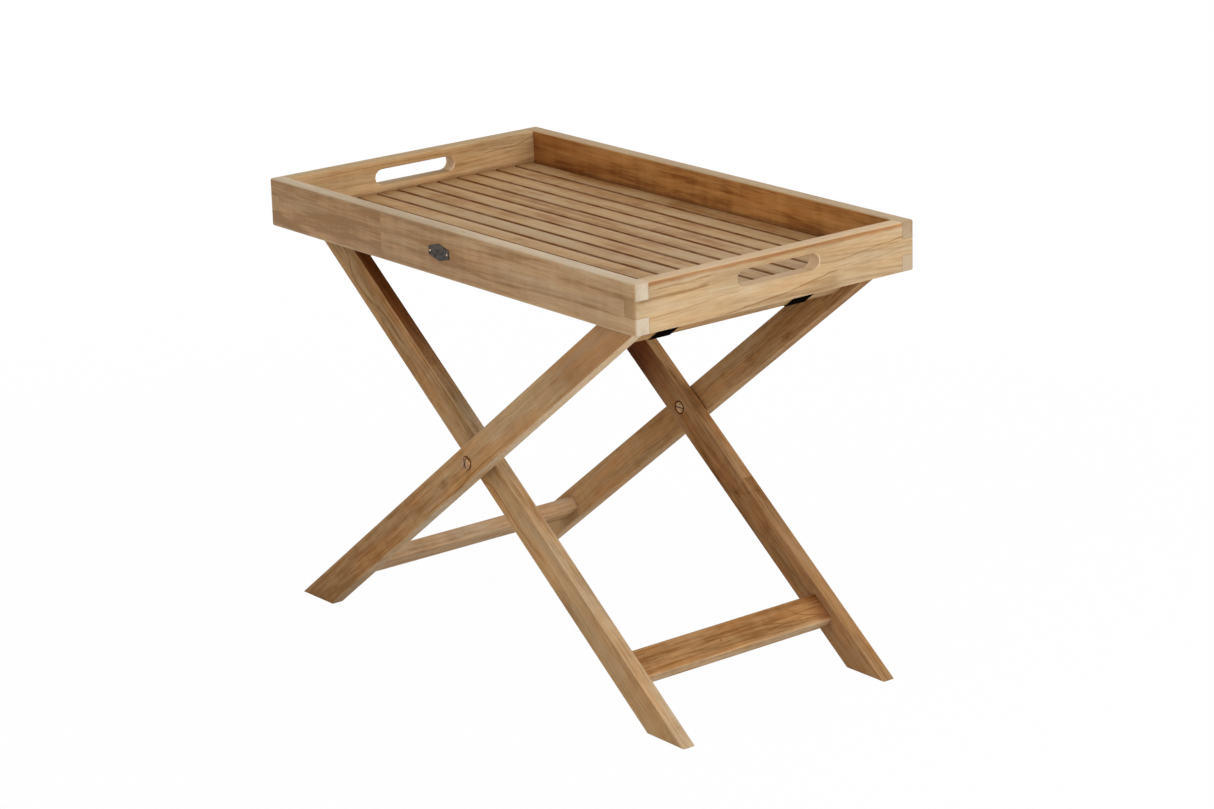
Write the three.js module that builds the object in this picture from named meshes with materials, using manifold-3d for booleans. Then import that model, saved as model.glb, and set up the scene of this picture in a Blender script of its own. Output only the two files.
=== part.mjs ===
// A serving table: a slatted teak tray that lies loose on a folding X-frame stand.
// Millimetres, +Z up. The origin is on the floor, midway between the feet. X runs along the tray,
// and -Y is the front. The pivots of the stand lie above the origin.

import * as THREE from 'three';
import { mergeVertices } from 'three/addons/utils/BufferGeometryUtils.js';
import Module from 'manifold-3d';

const wasm = await Module();
wasm.setup();

// Clearances
const fit = 0.3; // between pieces that touch
const overrun = 5; // how far a cutter runs past the face it cuts

// Tray
const trayLength = 720;
const trayWidth = 420;
const trayHeight = 60;
const trayWall = 19;
const trayUnderside = 496; // above the floor
const railEase = 2; // rounding along the long edges of the four rails
const trayCornerRound = 4.5;
const fingerCount = 3; // fingers in the height of each corner
const slotLength = 124;
const slotHeight = 20;
const slotRoof = 12; // wood left above a handle slot
const slotEase = 1.6;

// Tray floor
const floorRise = 19; // top of the slats above the tray's underside
const slatCount = 12;
const slatGap = 4;
const slatThickness = 10;
const slatEase = 1.4;
const tongueLength = 6;
const tongueThickness = 5;
const battenWidth = 40;
const battenEase = 1.5;
const stubLength = 8; // tenons of the battens
const stubShoulder = 5;
const stubRebate = 2;

// Stand
const pivotHeight = 261.6;
const strapSetback = 72.1; // from an end of the tray in to where the straps leave a top rail
const standWidth = 369.6; // over the outer legs
const legWidth = 40;
const legThickness = 18;
const legEase = 2;
const barWidth = 40; // top rails and stretchers
const barThickness = 18;
const barRound = 3;
const stretcherHeight = 61.3; // centre line above the floor
const tenonLength = 9;
const tenonThickness = 8;
const tenonShoulder = 5;

// Pivots
const boltHeadDiameter = 16.5;
const boltHeadHeight = 3.2;
const boltShankDiameter = 6;
const sleeveDiameter = 9;
const flangeDiameter = 13.8;
const flangeHeight = 1.6;
const recessDiameter = 17;
const washerDiameter = 19;
const washerThickness = 1;
const driverSlotWidth = 1.6;
const driverSlotDepth = 1;
const boltSlotTurn = -1.22; // radians, so that the bolts' slots stand nearly upright

// Straps
const strapWidth = 30;
const strapThickness = 1.2;
const strapInset = 29.2; // from the inner legs in to the straps
const strapTuck = 26; // length tacked to the inner face of a top rail
const tackHeadDiameter = 8;
const tackHeadHeight = 1.4;
const tackShankDiameter = 2.4;
const tackLength = 11;

// Facets of round forms
const roundFacets = 32;
const smallFacets = 12;
const easeSteps = 3;

// Finishes
const honeyTeak = { color: 0xb98a58, roughness: 0.55, metalness: 0 };
const brownTeak = { color: 0x8a6446, roughness: 0.6, metalness: 0 };
const paleTeak = { color: 0xb59a7c, roughness: 0.62, metalness: 0 };
const blackWebbing = { color: 0x17171a, roughness: 0.9, metalness: 0 };
const brass = { color: 0xb08d57, roughness: 0.32, metalness: 1 };

const quarterTurn = Math.PI / 2;
const halfTurn = Math.PI;

// The legs' slope. A strap leaves a top rail round its uppermost edge, whose rounding has its centre
// straight below the strap's turn, and to one side of the leg's centre line.
const railTop = trayUnderside - pivotHeight - strapThickness - 2 * fit; // above the pivots
const strapTurnX = trayLength / 2 - strapSetback;
const roundCentreOffset = barThickness / 2 - barRound;
const roundCentreReach = Math.hypot(strapTurnX, railTop - barRound); // from the pivot
const legAngle =
  Math.atan2(railTop - barRound, strapTurnX) - Math.asin(roundCentreOffset / roundCentreReach);
const sinLeg = Math.sin(legAngle);
const cosLeg = Math.cos(legAngle);

// Solids and booleans

/** A closed three.js geometry as a solid, its vertices merged and its empty triangles dropped. */
function solidOf(geometry) {
  const bare = geometry.clone();
  bare.deleteAttribute('normal');
  bare.deleteAttribute('uv');
  const merged = mergeVertices(bare);
  const index = merged.index.array;
  const kept = [];
  for (let i = 0; i < index.length; i += 3) {
    const [a, b, c] = [index[i], index[i + 1], index[i + 2]];
    if (a !== b && b !== c && c !== a) kept.push(a, b, c);
  }
  const mesh = new wasm.Mesh({
    numProp: 3,
    vertProperties: new Float32Array(merged.attributes.position.array),
    triVerts: new Uint32Array(kept),
  });
  return new wasm.Manifold(mesh);
}

/** A solid back as a geometry with flat faces. */
function geometryOf(solid) {
  const mesh = solid.getMesh();
  const indexed = new THREE.BufferGeometry();
  indexed.setAttribute('position', new THREE.BufferAttribute(mesh.vertProperties, 3));
  indexed.setIndex(new THREE.BufferAttribute(mesh.triVerts, 1));
  const geometry = indexed.toNonIndexed();
  geometry.computeVertexNormals();
  return geometry;
}

/** The first geometry with the others cut away from it. */
function cut(geometry, cutters) {
  return geometryOf(cutters.reduce((rest, cutter) => rest.subtract(solidOf(cutter)), solidOf(geometry)));
}

/** All the geometries joined into one. */
function join(geometries) {
  return geometryOf(geometries.map(solidOf).reduce((whole, piece) => whole.add(piece)));
}

/** What two geometries share. */
function common(a, b) {
  return geometryOf(solidOf(a).intersect(solidOf(b)));
}

// Shapes

/** A box from its lowest to its highest corner. */
function block(low, high) {
  const size = high.map((value, axis) => value - low[axis]);
  const centre = high.map((value, axis) => (value + low[axis]) / 2);
  return new THREE.BoxGeometry(...size).translate(...centre);
}

/** Points of an arc round a centre, both end points among them. */
function arc(centreX, centreY, radius, from, to, steps) {
  return Array.from({ length: steps + 1 }, (_, i) => {
    const turn = from + ((to - from) * i) / steps;
    return new THREE.Vector2(centreX + radius * Math.cos(turn), centreY + radius * Math.sin(turn));
  });
}

/** A rectangle with round corners, centred on zero, anticlockwise. */
function roundedRectangle(width, height, radius, steps) {
  const x = width / 2 - radius;
  const y = height / 2 - radius;
  return [
    ...arc(x, -y, radius, -quarterTurn, 0, steps),
    ...arc(x, y, radius, 0, quarterTurn, steps),
    ...arc(-x, y, radius, quarterTurn, halfTurn, steps),
    ...arc(-x, -y, radius, halfTurn, halfTurn + quarterTurn, steps),
  ];
}

/** A slot's outline: two half circles joined by straight sides, centred on zero. */
function stadium(length, height, steps) {
  const radius = height / 2;
  const reach = length / 2 - radius;
  return [
    ...arc(reach, 0, radius, -quarterTurn, quarterTurn, steps),
    ...arc(-reach, 0, radius, quarterTurn, halfTurn + quarterTurn, steps),
  ];
}

/** An outline in X and Y, extruded along Z about zero, its long edges eased. */
function prism(outline, length, ease) {
  const eased = ease > 0;
  const geometry = new THREE.ExtrudeGeometry(new THREE.Shape(outline), {
    depth: length - 2 * ease,
    bevelEnabled: eased,
    bevelThickness: ease,
    bevelSize: ease,
    bevelOffset: -ease,
    bevelSegments: easeSteps,
  });
  return geometry.translate(0, 0, ease - length / 2);
}

/** The same, with the outline in X and Z and the extrusion along Y. */
function plate(outline, thickness, ease) {
  return prism(outline, thickness, ease).rotateX(quarterTurn);
}

/** A bar of rounded section along X, centred on zero: width along Y, height along Z. */
function barAlongX(length, width, height, radius) {
  const section = roundedRectangle(height, width, radius, easeSteps);
  return prism(section, length, 0).rotateY(quarterTurn);
}

/** A bar of rounded section along Y, centred on zero: width along X, height along Z. */
function barAlongY(length, width, height, radius) {
  return plate(roundedRectangle(width, height, radius, easeSteps), length, 0);
}

/** A closed skin over convex outlines of equal point count, each at its own height. */
function stack(levels) {
  const count = levels[0].outline.length;
  const positions = levels.flatMap(({ outline, height }) => outline.flatMap((p) => [p.x, p.y, height]));
  const indices = [];
  for (let level = 0; level + 1 < levels.length; level += 1) {
    for (let i = 0; i < count; i += 1) {
      const a = level * count + i;
      const b = level * count + ((i + 1) % count);
      indices.push(a, b, b + count, a, b + count, a + count);
    }
  }
  const top = (levels.length - 1) * count;
  for (let i = 1; i + 1 < count; i += 1) {
    indices.push(0, i + 1, i);
    indices.push(top, top + i, top + i + 1);
  }
  const geometry = new THREE.BufferGeometry();
  geometry.setAttribute('position', new THREE.Float32BufferAttribute(positions, 3));
  geometry.setIndex(indices);
  geometry.computeVertexNormals();
  return geometry;
}

/** Depths and setbacks of a quarter round, from the face inwards. */
function quarterRound(radius) {
  return Array.from({ length: easeSteps + 1 }, (_, i) => {
    const turn = (quarterTurn * i) / easeSteps;
    return { depth: radius - radius * Math.cos(turn), setback: radius - radius * Math.sin(turn) };
  });
}

/** A turned piece about the Y axis, from radius and height pairs that start and end on the axis. */
function turned(profile, facets) {
  return new THREE.LatheGeometry(profile.map(([radius, y]) => new THREE.Vector2(radius, y)), facets);
}

/** A round hole cutter along Y between two heights. */
function drill(diameter, from, to, facets) {
  const radius = diameter / 2;
  return turned([[0, from], [radius, from], [radius, to], [0, to]], facets);
}

// Scene graph

const servingTable = new THREE.Group();
servingTable.name = 'serving_table';

const tray = new THREE.Group();
tray.position.z = trayUnderside;
servingTable.add(tray);

/** Adds one named piece to a group. */
function addPiece(parent, name, geometry, finish) {
  const mesh = new THREE.Mesh(geometry, new THREE.MeshStandardMaterial(finish));
  mesh.name = name;
  parent.add(mesh);
  return mesh;
}

// Tray rails: one moulded ring, parted along the box joints

const fingerHeight = trayHeight / fingerCount;
const innerLength = trayLength - 2 * trayWall;
const innerWidth = trayWidth - 2 * trayWall;

/** The rails' outside: a rounded rectangle whose top and bottom edges are eased. */
function ringOutside() {
  const rounds = quarterRound(railEase);
  const level = (height, inset) => ({
    height,
    outline: roundedRectangle(
      trayLength - 2 * inset,
      trayWidth - 2 * inset,
      Math.max(trayCornerRound - inset, railEase / 2),
      easeSteps,
    ),
  });
  const bottom = rounds.map(({ depth, setback }) => level(depth, setback));
  const top = rounds.map(({ depth, setback }) => level(trayHeight - depth, setback)).reverse();
  return stack([...bottom, ...top]);
}

/** The space inside the rails, flared at the top and bottom to ease the inner edges. */
function ringInside() {
  const rounds = quarterRound(railEase);
  const level = (height, flare) => {
    const x = innerLength / 2 + flare;
    const y = innerWidth / 2 + flare;
    const corners = [[-x, -y], [x, -y], [x, y], [-x, y]];
    return { height, outline: corners.map(([a, b]) => new THREE.Vector2(a, b)) };
  };
  const bottom = rounds.map(({ depth, setback }) => level(depth, setback));
  const top = rounds.map(({ depth, setback }) => level(trayHeight - depth, setback)).reverse();
  return stack([level(-overrun, railEase), ...bottom, ...top, level(trayHeight + overrun, railEase)]);
}

/** Blocks that keep the fingers of one parity, from the underside up. */
function fingerBands(parity) {
  const bands = [];
  for (let finger = parity; finger < fingerCount; finger += 2) {
    const low = finger === 0 ? -overrun : finger * fingerHeight + fit / 2;
    const high = finger === fingerCount - 1 ? trayHeight + overrun : (finger + 1) * fingerHeight - fit / 2;
    bands.push([low, high]);
  }
  return bands;
}

/** The stretch of the ring that belongs to a long rail: its wall, and its fingers at both ends. */
function longRailBlank(side) {
  const face = side * (innerWidth / 2);
  const outside = side * (trayWidth / 2 + overrun);
  const [low, high] = [Math.min(face, outside), Math.max(face, outside)];
  const reach = innerLength / 2 - fit;
  const wall = block([-reach, low, -overrun], [reach, high, trayHeight + overrun]);
  const ends = trayLength / 2 + overrun;
  const fingers = fingerBands(0).map(([from, to]) => block([-ends, low, from], [ends, high, to]));
  return join([wall, ...fingers]);
}

/** The stretch of the ring that belongs to an end rail: its wall, and its fingers at both ends. */
function endRailBlank(side) {
  const face = side * (innerLength / 2);
  const outside = side * (trayLength / 2 + overrun);
  const [low, high] = [Math.min(face, outside), Math.max(face, outside)];
  const reach = innerWidth / 2 - fit;
  const wall = block([low, -reach, -overrun], [high, reach, trayHeight + overrun]);
  const ends = trayWidth / 2 + overrun;
  const fingers = fingerBands(1).map(([from, to]) => block([low, -ends, from], [high, ends, to]));
  return join([wall, ...fingers]);
}

/** Cuts a handle slot along X through an end rail, both its rims rounded over. */
function handleSlotCutter() {
  const rounds = quarterRound(slotEase);
  const half = trayWall / 2;
  const level = (height, flare) => ({
    height,
    outline: stadium(slotLength + 2 * flare, slotHeight + 2 * flare, 2 * easeSteps),
  });
  const near = rounds.map(({ depth, setback }) => level(depth - half, setback));
  const far = rounds.map(({ depth, setback }) => level(half - depth, setback)).reverse();
  const skin = stack([level(-half - overrun, slotEase), ...near, ...far, level(half + overrun, slotEase)]);
  const alongX = new THREE.Matrix4().makeBasis(
    new THREE.Vector3(0, 1, 0),
    new THREE.Vector3(0, 0, 1),
    new THREE.Vector3(1, 0, 0),
  );
  return skin.applyMatrix4(alongX);
}

const slotCentre = trayHeight - slotRoof - slotHeight / 2;
const slatMiddle = floorRise - slatThickness / 2;
const battenHeight = floorRise - slatThickness - fit;
const stubHeight = battenHeight - 2 * stubRebate;

/** The groove along the inside of an end rail that takes the slats' tongues. */
function tongueGroove(side) {
  const face = side * (innerLength / 2);
  const [inner, outer] = [face - side * overrun, face + side * (tongueLength + fit)];
  const half = tongueThickness / 2 + fit;
  const reach = innerWidth / 2 + overrun;
  const low = [Math.min(inner, outer), -reach, slatMiddle - half];
  const high = [Math.max(inner, outer), reach, slatMiddle + half];
  return block(low, high);
}

const ring = cut(ringOutside(), [ringInside()]);

// The battens stand over the top rails of the stand, and one more is in the middle.
const battenPlaces = { left: -strapTurnX, middle: 0, right: strapTurnX };

/** A blind mortise for a batten's stub tenon in a long rail. */
function stubMortise(side, x) {
  const face = side * (innerWidth / 2);
  const [inner, outer] = [face - side * overrun, face + side * (stubLength + fit)];
  const half = battenWidth / 2 - stubShoulder + fit;
  const low = [x - half, Math.min(inner, outer), stubRebate - fit];
  const high = [x + half, Math.max(inner, outer), stubRebate + stubHeight + fit];
  return block(low, high);
}

for (const [name, side] of [['front', -1], ['back', 1]]) {
  const blank = common(ring, longRailBlank(side));
  const mortises = Object.values(battenPlaces).map((x) => stubMortise(side, x));
  addPiece(tray, `tray_rail_${name}`, cut(blank, mortises), brownTeak);
}

for (const [name, side] of [['left', -1], ['right', 1]]) {
  const blank = common(ring, endRailBlank(side));
  const slot = handleSlotCutter().translate(side * (trayLength / 2 - trayWall / 2), 0, slotCentre);
  addPiece(tray, `tray_rail_${name}`, cut(blank, [slot, tongueGroove(side)]), honeyTeak);
}

// Tray floor: tongued slats over cross battens

const slatWidth = (innerWidth - (slatCount + 1) * slatGap) / slatCount;
const slatPitch = slatWidth + slatGap;

/** A slat along X with a tongue at each end, its top at the floor's height. */
function slat() {
  const body = barAlongX(innerLength - 2 * fit, slatWidth, slatThickness, slatEase);
  const reach = innerLength / 2 + tongueLength;
  const halfWidth = slatWidth / 2 - slatEase;
  const halfThickness = tongueThickness / 2;
  const tongue = block([-reach, -halfWidth, -halfThickness], [reach, halfWidth, halfThickness]);
  return join([body, tongue]);
}

for (let i = 0; i < slatCount; i += 1) {
  const name = `slat_${String(i + 1).padStart(2, '0')}`;
  const piece = addPiece(tray, name, slat(), paleTeak);
  piece.position.set(0, (i - (slatCount - 1) / 2) * slatPitch, slatMiddle);
}

/** A cross batten along Y with a stub tenon at each end, its underside flush with the rails'. */
function batten() {
  const body = barAlongY(innerWidth - 2 * fit, battenWidth, battenHeight, battenEase);
  const reach = innerWidth / 2 + stubLength;
  const halfWidth = battenWidth / 2 - stubShoulder;
  const stub = block([-halfWidth, -reach, -stubHeight / 2], [halfWidth, reach, stubHeight / 2]);
  return join([body, stub]);
}

for (const [name, x] of Object.entries(battenPlaces)) {
  const piece = addPiece(tray, `floor_batten_${name}`, batten(), brownTeak);
  piece.position.set(x, 0, battenHeight / 2);
}

// Stand: two crossed frames. Each is built in its own turned group, with X along its legs towards
// the feet, Y across the stand, and Z across the legs. Outward says which way Z faces the outside.

const outerLegY = standWidth / 2 - legThickness / 2;
const pivotGap = washerThickness + 2 * fit; // between an outer and an inner leg
const innerLegY = outerLegY - legThickness - pivotGap;
const barTopAlong = -Math.sqrt(roundCentreReach ** 2 - roundCentreOffset ** 2) - barRound;
const stretcherAlong = (pivotHeight - stretcherHeight) / sinLeg - barWidth / 2;

const frames = {
  outer: { outward: 1, turn: halfTurn - legAngle, legY: outerLegY, finish: brownTeak },
  inner: { outward: -1, turn: legAngle, legY: innerLegY, finish: honeyTeak },
};

/** A leg's outline: a bar cut level at its top and at the floor. */
function legOutline(outward) {
  const corner = (height, across) =>
    new THREE.Vector2((-height - outward * across * cosLeg) / sinLeg, across);
  const half = legWidth / 2;
  const foot = -pivotHeight;
  return [corner(railTop, -half), corner(foot, -half), corner(foot, half), corner(railTop, half)];
}

/** A blind mortise in a leg for the tenon of the bar that starts at a place along the leg. */
function legMortise(along, facing) {
  const face = facing * (legThickness / 2);
  const [inner, outer] = [face - facing * (tenonLength + fit), face + facing * overrun];
  const half = tenonThickness / 2 + fit;
  const low = [along + tenonShoulder - fit, Math.min(inner, outer), -half];
  const high = [along + barWidth - tenonShoulder + fit, Math.max(inner, outer), half];
  return block(low, high);
}

/** A leg, with its pivot hole, its mortises and, on an inner leg, the recess of the nut's flange. */
function leg(outward, facing, recessed) {
  const through = legThickness / 2 + overrun;
  const cutters = [
    drill(sleeveDiameter + 2 * fit, -through, through, roundFacets),
    legMortise(barTopAlong, facing),
    legMortise(stretcherAlong, facing),
  ];
  if (recessed) {
    const bed = facing * (legThickness / 2 - flangeHeight - fit);
    const [low, high] = facing > 0 ? [bed, through] : [-through, bed];
    cutters.push(drill(recessDiameter, low, high, roundFacets));
  }
  return cut(plate(legOutline(outward), legThickness, legEase), cutters);
}

/** A top rail or a stretcher with a tenon at each end, starting at a place along the legs. */
function crossBar(along, legY) {
  const faces = legY - legThickness / 2; // inner faces of the legs
  const body = barAlongY(2 * (faces - fit), barWidth, barThickness, barRound);
  const reach = faces + tenonLength;
  const half = barWidth / 2 - tenonShoulder;
  const tenon = block([-half, -reach, -tenonThickness / 2], [half, reach, tenonThickness / 2]);
  return join([body, tenon]).translate(along + barWidth / 2, 0, 0);
}

// Straps: webbing that is tacked to a top rail's inner face, goes round its lower edge, up its outer
// face and over its upper edge, and then runs level to the other top rail.

/** One side of the wrapped webbing, at a distance from the rail's surface. */
function wrapSide(distance) {
  const lower = barTopAlong + barWidth - barRound;
  const upper = barTopAlong + barRound;
  const radius = barRound + distance;
  const start = new THREE.Vector2(barTopAlong + barWidth - strapTuck, -roundCentreOffset - radius);
  return [
    start,
    ...arc(lower, -roundCentreOffset, radius, -quarterTurn, 0, easeSteps),
    ...arc(lower, roundCentreOffset, radius, 0, quarterTurn, easeSteps),
    ...arc(upper, roundCentreOffset, radius, quarterTurn, halfTurn, easeSteps),
    ...arc(upper, -roundCentreOffset, radius, halfTurn, halfTurn + quarterTurn - legAngle, easeSteps),
  ];
}

/** The wrapped end of a strap, in its frame's own axes. */
function strapWrap(outward) {
  const outline = [...wrapSide(fit), ...wrapSide(fit + strapThickness).reverse()];
  return plate(outline.map((p) => new THREE.Vector2(p.x, outward * p.y)), strapWidth, 0);
}

const tackPlaceShare = 0.45; // of the tuck, from the rail's lower edge
const tackAlong = barTopAlong + barWidth - strapTuck * tackPlaceShare;
const tackSeat = barThickness / 2 + strapThickness + 2 * fit; // under a tack's head

/** Turns a piece from the Y axis to a frame's inward side, and sets it at a tack's place. */
function atTack(geometry, outward, y) {
  return geometry.rotateX(-outward * quarterTurn).translate(tackAlong, y, 0);
}

/** A domed tack that stands on the strap and reaches into the rail. */
function tack(outward, y) {
  const head = tackHeadDiameter / 2;
  const shank = tackShankDiameter / 2;
  const domeShares = [[0.85, 0.5], [0.5, 0.85]];
  const profile = [
    [0, tackSeat - tackLength],
    [shank, tackSeat - tackLength],
    [shank, tackSeat],
    [head, tackSeat],
    ...domeShares.map(([out, up]) => [head * out, tackSeat + tackHeadHeight * up]),
    [0, tackSeat + tackHeadHeight],
  ];
  return atTack(geometryOf(solidOf(turned(profile, smallFacets))), outward, y);
}

/** The hole that a tack's shank takes up in the strap and the rail. */
function tackHole(outward, y) {
  const diameter = tackShankDiameter + 2 * fit;
  const hole = drill(diameter, tackSeat - tackLength - fit, tackSeat + overrun, smallFacets);
  return atTack(hole, outward, y);
}

const strapY = innerLegY - legThickness / 2 - strapInset - strapWidth / 2;
const strapPlaces = { front: -strapY, rear: strapY };
const tackOffsets = [-strapWidth / 4, strapWidth / 4];

for (const [name, { outward, turn, legY, finish }] of Object.entries(frames)) {
  const frame = new THREE.Group();
  frame.position.z = pivotHeight;
  frame.rotation.y = turn;
  servingTable.add(frame);

  for (const [place, side] of [['front', -1], ['rear', 1]]) {
    const piece = addPiece(frame, `leg_${name}_${place}`, leg(outward, -side, outward < 0), finish);
    piece.position.y = side * legY;
  }

  const tackPlaces = Object.values(strapPlaces).flatMap((y) => tackOffsets.map((offset) => y + offset));
  const tackHoles = tackPlaces.map((y) => tackHole(outward, y));
  addPiece(frame, `top_rail_${name}`, cut(crossBar(barTopAlong, legY), tackHoles), finish);
  addPiece(frame, `stretcher_${name}`, crossBar(stretcherAlong, legY), finish);

  for (const [place, y] of Object.entries(strapPlaces)) {
    const wrap = cut(strapWrap(outward).translate(0, y, 0), tackHoles);
    addPiece(frame, `strap_wrap_${name}_${place}`, wrap, blackWebbing);
  }
  tackPlaces.forEach((y, i) => addPiece(frame, `strap_tack_${name}_${i + 1}`, tack(outward, y), brass));
}

for (const [place, y] of Object.entries(strapPlaces)) {
  const low = pivotHeight + railTop + fit;
  const reach = strapTurnX - fit;
  const halfWidth = strapWidth / 2;
  const span = block([-reach, y - halfWidth, low], [reach, y + halfWidth, low + strapThickness]);
  addPiece(servingTable, `strap_span_${place}`, span, blackWebbing);
}

// Pivots: a bolt from outside, a sleeve nut from inside, and a washer between the legs

const outerFaceY = standWidth / 2;
const innerFaceY = innerLegY - legThickness / 2; // the inner legs' inner faces
const sleeveEndY = outerFaceY - fit; // the sleeve stops just short of the bolt's head

/** The driver's slot across a head, between two heights, turned about the pivot. */
function driverSlot(bottom, top, slotTurn) {
  const half = driverSlotWidth / 2;
  return block([-boltHeadDiameter, bottom, -half], [boltHeadDiameter, top, half]).rotateY(slotTurn);
}

/** The bolt along +Y from inside the stand, with a low dome for a head. */
function pivotBolt() {
  const head = boltHeadDiameter / 2;
  const shank = boltShankDiameter / 2;
  const seat = outerFaceY + fit;
  const top = seat + boltHeadHeight;
  const rimShare = 0.35;
  const shoulderShares = [[0.95, 0.66], [0.78, 0.88], [0.5, 0.97]];
  const profile = [
    [0, innerFaceY + 2 * flangeHeight],
    [shank, innerFaceY + 2 * flangeHeight],
    [shank, seat],
    [head, seat],
    [head, seat + boltHeadHeight * rimShare],
    ...shoulderShares.map(([out, up]) => [head * out, seat + boltHeadHeight * up]),
    [0, top],
  ];
  return cut(turned(profile, roundFacets), [driverSlot(top - driverSlotDepth, top + overrun, boltSlotTurn)]);
}

/** The sleeve nut, its slotted flange in the recess of the inner leg. */
function pivotNut() {
  const flange = flangeDiameter / 2;
  const sleeve = sleeveDiameter / 2;
  const bore = boltShankDiameter / 2 + fit;
  const bed = innerFaceY + flangeHeight;
  const floor = innerFaceY + 2 * flangeHeight - fit; // of the sleeve's bore
  const profile = [
    [0, innerFaceY],
    [flange, innerFaceY],
    [flange, bed],
    [sleeve, bed],
    [sleeve, sleeveEndY],
    [bore, sleeveEndY],
    [bore, floor],
    [0, floor],
  ];
  const slot = driverSlot(innerFaceY - overrun, innerFaceY + driverSlotDepth, 0);
  return cut(turned(profile, roundFacets), [slot]);
}

/** The washer between an outer and an inner leg. */
function pivotWasher() {
  const low = innerLegY + legThickness / 2 + fit;
  const high = low + washerThickness;
  const outside = washerDiameter / 2;
  const inside = sleeveDiameter / 2 + fit;
  const profile = [[inside, low], [outside, low], [outside, high], [inside, high], [inside, low]];
  return geometryOf(solidOf(turned(profile, roundFacets)));
}

for (const [place, turn] of [['rear', 0], ['front', halfTurn]]) {
  const pivot = new THREE.Group();
  pivot.position.z = pivotHeight;
  pivot.rotation.z = turn;
  servingTable.add(pivot);
  addPiece(pivot, `pivot_bolt_${place}`, pivotBolt(), brass);
  addPiece(pivot, `pivot_nut_${place}`, pivotNut(), brass);
  addPiece(pivot, `pivot_washer_${place}`, pivotWasher(), brass);
}

export default servingTable;
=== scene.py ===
"""Serving table in oiled teak: a slatted tray lying on a folding stand with black webbing straps.

The boards, pivots and tacks come with the fixed frame and get their finishes here. The straps, the
screws under the tray's floor and the bare plate on the front rail are made here, as surfaces worked
out on grids. Everything is in metres, in the frame's own coordinates: the floor is z = 0, the tray
runs along X and the front is -Y.
"""
import logging
import math
from dataclasses import dataclass, field, replace
from enum import Enum
from functools import cache

import bmesh
import bpy
import numpy as np
from bpy.types import ID, Material, Node, NodeSocket, NodeTree, Object
from mathutils import Matrix, Vector


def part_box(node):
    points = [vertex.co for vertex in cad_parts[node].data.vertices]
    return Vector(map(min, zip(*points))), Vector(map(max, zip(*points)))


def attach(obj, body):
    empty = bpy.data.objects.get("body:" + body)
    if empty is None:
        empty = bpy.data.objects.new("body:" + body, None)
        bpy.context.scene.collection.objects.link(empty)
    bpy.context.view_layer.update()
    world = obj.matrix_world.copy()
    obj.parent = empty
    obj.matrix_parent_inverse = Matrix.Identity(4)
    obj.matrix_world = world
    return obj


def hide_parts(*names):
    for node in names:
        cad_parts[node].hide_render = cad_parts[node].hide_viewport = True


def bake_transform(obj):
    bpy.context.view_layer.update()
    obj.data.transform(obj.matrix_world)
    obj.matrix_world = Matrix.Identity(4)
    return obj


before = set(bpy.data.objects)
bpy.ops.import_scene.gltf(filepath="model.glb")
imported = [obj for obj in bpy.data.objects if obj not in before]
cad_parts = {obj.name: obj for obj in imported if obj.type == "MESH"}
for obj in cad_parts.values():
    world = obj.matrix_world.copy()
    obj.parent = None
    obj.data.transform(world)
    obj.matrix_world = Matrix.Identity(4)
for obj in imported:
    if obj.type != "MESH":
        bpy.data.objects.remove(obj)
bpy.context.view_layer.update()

log = logging.getLogger("serving_table")

MM = 0.001
TURN = 2 * math.pi
X, Y, Z = Vector((1, 0, 0)), Vector((0, 1, 0)), Vector((0, 0, 1))
SMOOTH_ANGLE = math.radians(35)
Colour = tuple[float, float, float]


class Body(str, Enum):
    """The moving bodies of the table."""

    OUTER = "outer_frame"
    INNER = "inner_frame"
    TRAY = "tray"


class Grain(Enum):
    """The noises of the wood: waves a metre along and across the board, seed, octaves and roughness."""

    BEND = (2.4, 11.0, 0.0, 2.0, 0.5)
    DRIFT = (1.3, 60.0, 4.0, 1.0, 0.5)
    BREAKS = (2.0, 24.0, 7.0, 1.0, 0.5)
    ROUGH = (55.0, 130.0, 12.0, 3.0, 0.6)
    STREAK = (3.2, 150.0, 1.0, 4.0, 0.62)
    FLECK = (26.0, 420.0, 11.0, 3.0, 0.6)
    CLOUD = (7.0, 34.0, 2.0, 3.0, 0.55)
    RIPPLE = (75.0, 16.0, 8.0, 2.0, 0.5)
    PORE = (45.0, 1500.0, 3.0, 2.0, 0.6)
    WARMTH = (8.0, 50.0, 9.0, 3.0, 0.6)
    SPREAD = (45.0, 110.0, 13.0, 3.0, 0.6)
    WEAR_AND_HIGHLIGHT = (30.0, 90.0, 5.0, 2.0, 0.5)
    SPECK = (150.0, 800.0, 6.0, 2.0, 0.7)
    PATCH = (20.0, 75.0, 14.0, 2.0, 0.5)


def middle(name: str) -> Vector:
    """The middle of a node's box."""
    return sum(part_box(name), Vector()) / 2


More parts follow.
